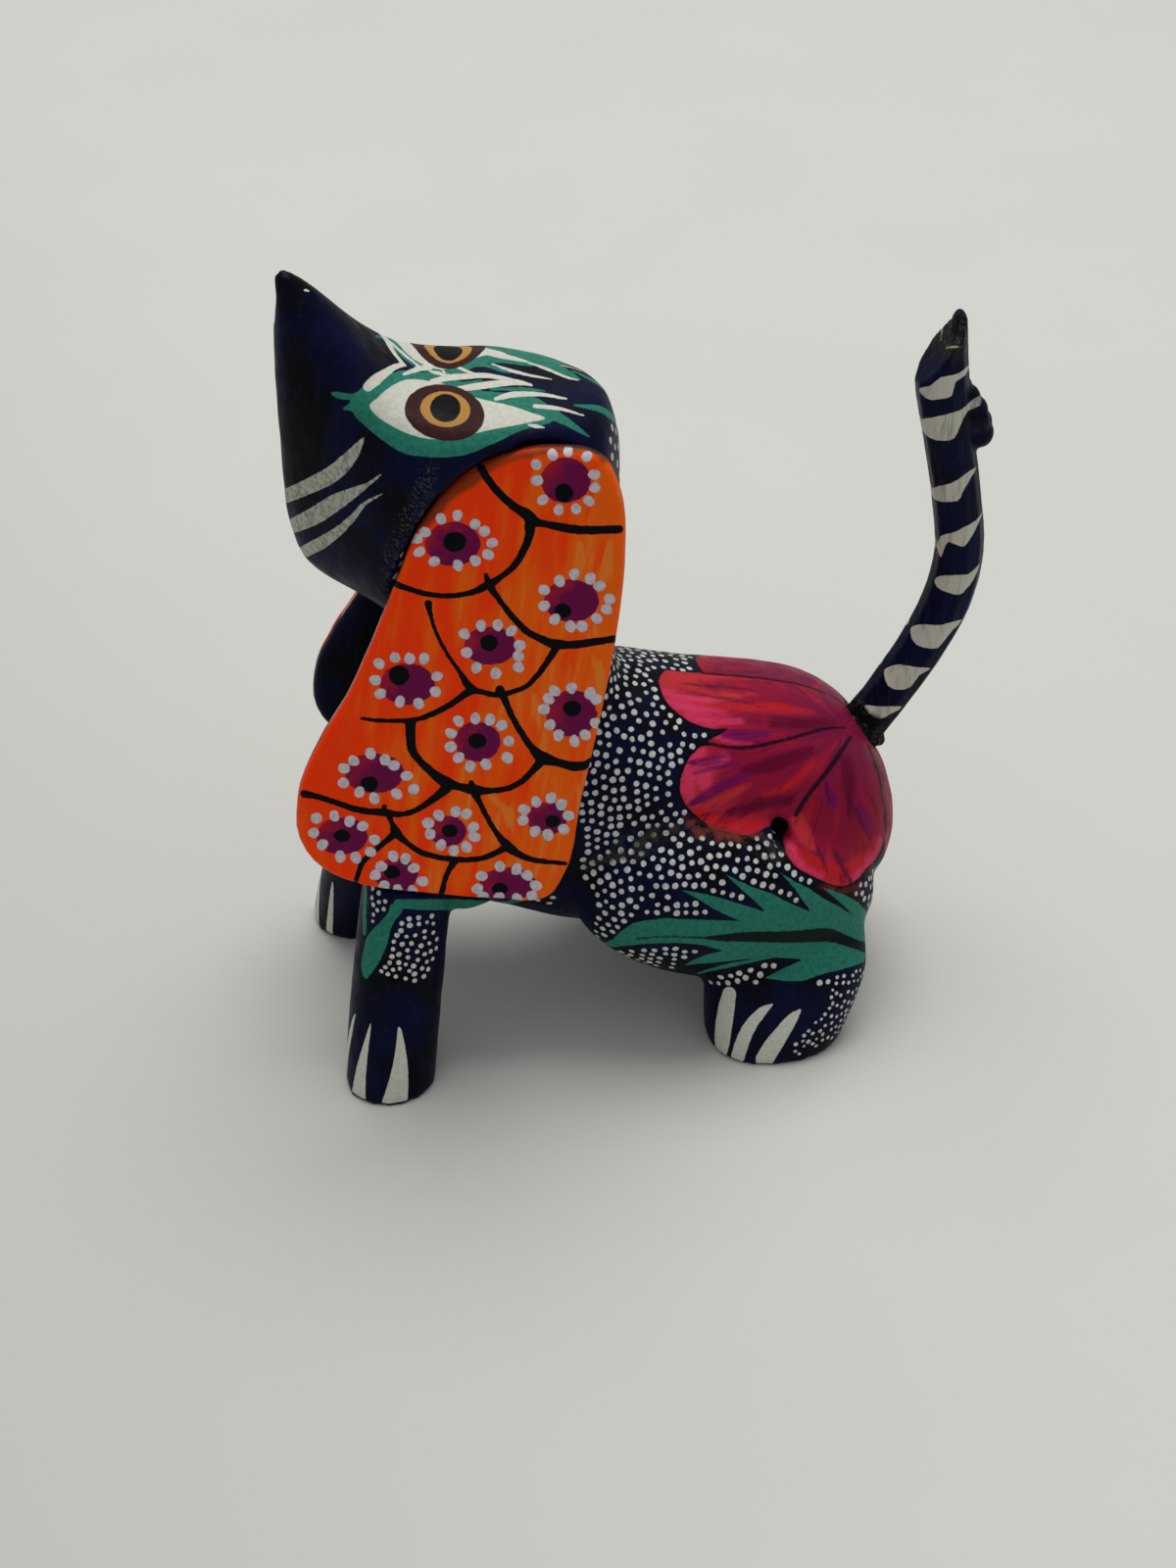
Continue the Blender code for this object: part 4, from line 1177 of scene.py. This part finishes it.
def body_paint():
    paint = Paint("painted_body")
    paint.colour = navy_ground(paint)
    specks = paint.ramp(paint.noise(3.6, 3.0, 0.65), 0.67, 0.74)
    handled = paint.ramp(paint.noise(0.20), 0.46, 0.62)
    paint.lay(DUST, paint.times(specks, handled), 0.5)
    petals = paint.shape("petals", 0.12, 0.06)
    off_petals = paint.rest(petals)
    rim = paint.math("SUBTRACT", paint.field("petals"), 0.30)
    paint.lay(BLACK, paint.mask(paint.wobbly(rim, 0.1), 0.3), 0.8)
    lay_petals(paint, petals)

    dots = FAR
    for name in ("dot", "next_dot"):
        offset = paint.vector("SUBTRACT", paint.place, paint.field(name + "_centre", "Vector"))
        distance = paint.math("DIVIDE", paint.vector("LENGTH", offset), MM)
        distance = paint.math("SUBTRACT", distance, paint.field(name + "_radius"))
        dots = paint.math("MINIMUM", dots, distance)
    dots = paint.times(paint.mask(paint.wobbly(dots, 0.15, 1.4), 0.05), off_petals)
    paint.lay(streaked(paint, DOT_WHITE, DOT_THIN, 0.8), dots)
    # Patchy cover for the crease smudge, which is partly painted shade, and for the red smear
    patchy_cover = paint.ramp(paint.noise(0.6, 4.0, 0.6), 0.36, 0.60)
    paint.lay(CREASE_SMUDGE_AND_SHADE, paint.times(paint.shape("crease_smudge_and_shade", 0.5, 0.6, 0.6), patchy_cover), 0.85)
    smear = paint.times(paint.shape("smear", 0.5, 0.7, 0.9), patchy_cover)
    paint.lay(SMEAR, paint.times(smear, off_petals))

    teal = paint.shape("teal", 0.09, 0.05)
    paint.lay(streaked(paint, TEAL, TEAL_THIN, 0.7), teal)
    paint.lay(RIB, paint.shape("rib", 0.10, 0.10))
    paint.lay(PETAL_LINE, paint.shape("lines", 0.14, 0.14), 0.95)
    white = paint.shape("white", 0.07, 0.04)
    paint.lay(streaked(paint, WHITE, WHITE_THIN, 0.45), white)
    dry = paint.ramp(paint.noise(2.2, 4.0, 0.7, along=0.5), 0.24, 0.42)
    whiskers = paint.times(paint.shape("whiskers", 0.10, 0.05), dry)
    paint.lay(streaked(paint, WHISKER_GREY, DUST, 0.7), whiskers)
    for name, colour in (("iris", BROWN), ("iris_ring", GOLD), ("pupil", BLACK)):
        paint.lay(colour, paint.shape(name, 0.08, 0.04))
    # The keel's rose mouth line, and black in the knot hole as painted shade
    for name, colour in (("keel", ROSE), ("hole", BLACK)):
        paint.lay(colour, paint.shape(name, 0.12, 0.1))
    grit = paint.ramp(paint.noise(3.2, 3.0, 0.7), 0.52, 0.64)
    paint.lay(DUST, paint.times(paint.shape("dust", 0.5, 0.8, 0.5), grit), 0.42)

    normal = paint.bump(paint.noise(0.8, 4.0, 0.6, along=0.4), 0.13)
    normal = paint.bump(paint.highest(dots, teal, white, whiskers), 0.03, normal)
    return paint.finish(paint.ramp(paint.noise(0.35, 3.0), 0.3, 0.7, 0.36, 0.52), normal)


def ear_paint():
    paint = Paint("painted_ear")
    grain = paint.noise(1.05, 4.0, 0.62, along=0.09, tilt=EAR_GRAIN_TILT)
    strokes = paint.noise(0.42, 3.0, 0.55, along=0.16, tilt=EAR_GRAIN_TILT)
    warmth = paint.sway(paint.field("warmth"), strokes, 4.2)
    paint.colour = paint.mix(ORANGE_RED, ORANGE, paint.ramp(warmth, -0.35, 0.95))
    ochre = paint.times(paint.ramp(grain, 0.50, 0.66), paint.ramp(warmth, 0.1, 0.9))
    paint.lay(OCHRE, ochre, 0.55)
    paint.lay(OCHRE, paint.mask(paint.sway(paint.field("yellow"), grain, 3.0), 0.3), 0.7)
    pores = paint.times(paint.ramp(grain, 0.36, 0.24), paint.ramp(warmth, -0.2, 0.8))
    paint.lay(OLIVE, pores, 0.45)
    # Painted shade under the head's overhang along the ear's top, with grime in the joint
    paint.lay(JOINT_GRIME_AND_SHADE, paint.shape("top_shade", 0.25, 0.45, 0.8), 0.8)

    tone = paint.ramp(paint.sway(paint.field("tint"), paint.noise(0.5), 2.2), -1.1, 0.0)
    paint.lay(paint.mix(WINE, PURPLE, tone), paint.shape("blossom", 0.20, 0.06, 0.8))
    lines = paint.shape("lines", 0.11, 0.05)
    paint.lay(BLACK, lines)
    seeds = paint.shape("seeds", 0.16, 0.05, 0.9)
    paint.lay(BLACK, seeds)
    dots = paint.shape("ring_dots", 0.20, 0.05, 0.9)
    paint.lay(streaked(paint, LILAC, LILAC_THIN, 0.7), dots)

    depth = paint.wobbly(paint.field("depth"), 0.25, 0.6)
    rim = paint.ramp(depth, 0.85, 1.2)
    worn = paint.times(paint.shape("worn", 0.4, 0.4, 0.5), 0.85)
    paint.lay(paint.mix(BLACK, WORN_EDGE, worn), rim, 0.8)
    paint.lay(navy_ground(paint), paint.ramp(depth, 1.5, 1.9))

    raised = paint.times(paint.highest(dots, lines, seeds), paint.rest(rim))
    normal = paint.bump(raised, 0.05, paint.bump(grain, 0.09))
    return paint.finish(paint.ramp(grain, 0.3, 0.7, 0.34, 0.50), normal)


def tail_paint():
    paint = Paint("painted_twig")
    fibres = paint.noise(1.6, 4.0, 0.65, along=0.07)
    paint.colour = paint.mix(navy_ground(paint), NAVY_PALE, paint.ramp(fibres, 0.52, 0.75))
    thin = paint.times(paint.ramp(fibres, 0.48, 0.66), 0.45)
    paint.lay(paint.mix(TAIL_WHITE, DUST, thin), paint.shape("white", 0.08, 0.05))
    rough_tip = paint.ramp(paint.wobbly(paint.field("height"), 1.2, 0.5), *ROUGH_TIP_HEIGHTS)
    crumbs = paint.ramp(paint.noise(2.2, 4.0, 0.7), 0.56, 0.66)
    paint.lay(BARK, rough_tip, 0.8)
    paint.lay(DUST, paint.times(rough_tip, crumbs), 0.5)
    paint.lay(TAN, paint.shape("specks", 0.12, 0.08))
    paint.lay(BLACK, paint.shape("stub", 0.3, 0.3, 0.7), 0.85)
    collar = paint.ramp(paint.wobbly(paint.field("root"), 0.5, 0.7), *COLLAR_PAINT_EDGE)
    glue = paint.ramp(paint.noise(1.5, 4.0, 0.7), 0.58, 0.66)
    paint.lay(paint.mix(BLACK, GLUE, glue), collar)
    lumps = paint.times(paint.noise(1.6, 3.0), paint.highest(rough_tip, collar))
    normal = paint.bump(lumps, 0.5, paint.bump(fibres, 0.16))
    return paint.finish(paint.ramp(fibres, 0.3, 0.7, 0.32, 0.48), normal)


def make_floor():
    bpy.ops.mesh.primitive_plane_add(size=FLOOR_SIZE, location=(0.0, 0.0, 0.0))
    floor = bpy.context.object
    floor.name = "floor"
    paint = Paint("pale_floor")
    patchy, shaded = (tuple(share * value for value in FLOOR)
                   for share in (FLOOR_PATCHY_SHARE, FLOOR_SHADE_SHARE))
    paint.colour = paint.mix(FLOOR, patchy, paint.noise(0.02, 3.0))
    # Painted shade: the floor's colour darkens towards the picture's left and bottom
    along = paint.vector("DOT_PRODUCT", paint.place, FLOOR_SHADE_WAY)
    paint.lay(shaded, paint.ramp(along, *FLOOR_SHADE_RANGE))
    floor.data.materials.append(paint.finish(FLOOR_ROUGHNESS, paint.bump(paint.noise(0.8, 3.0), 0.02)))


def make_lights():
    world = bpy.data.worlds.new("soft_room")
    bpy.context.scene.world = world
    world.use_nodes = True
    background = world.node_tree.nodes["Background"]
    background.inputs["Color"].default_value = ROOM_COLOUR
    background.inputs["Strength"].default_value = ROOM_STRENGTH
    data = bpy.data.lights.new("skylight", "AREA")
    data.shape = "DISK"
    data.size = SKYLIGHT_SIZE
    data.energy = SKYLIGHT_POWER
    data.color = SKYLIGHT_COLOUR
    light = bpy.data.objects.new("skylight", data)
    bpy.context.scene.collection.objects.link(light)
    light.location = SKYLIGHT_PLACE
    light.rotation_euler = (Vector(SKYLIGHT_TARGET) - light.location).to_track_quat("-Z", "Y").to_euler()


make_camera()
make_floor()
make_lights()
paint_body_fields()
paint_ear_fields("left_ear_painted", "left_ear", False)
paint_ear_fields("right_ear_painted", "right_ear", True)
paint_tail_fields()
bpy.context.scene.view_settings.view_transform = "Standard"
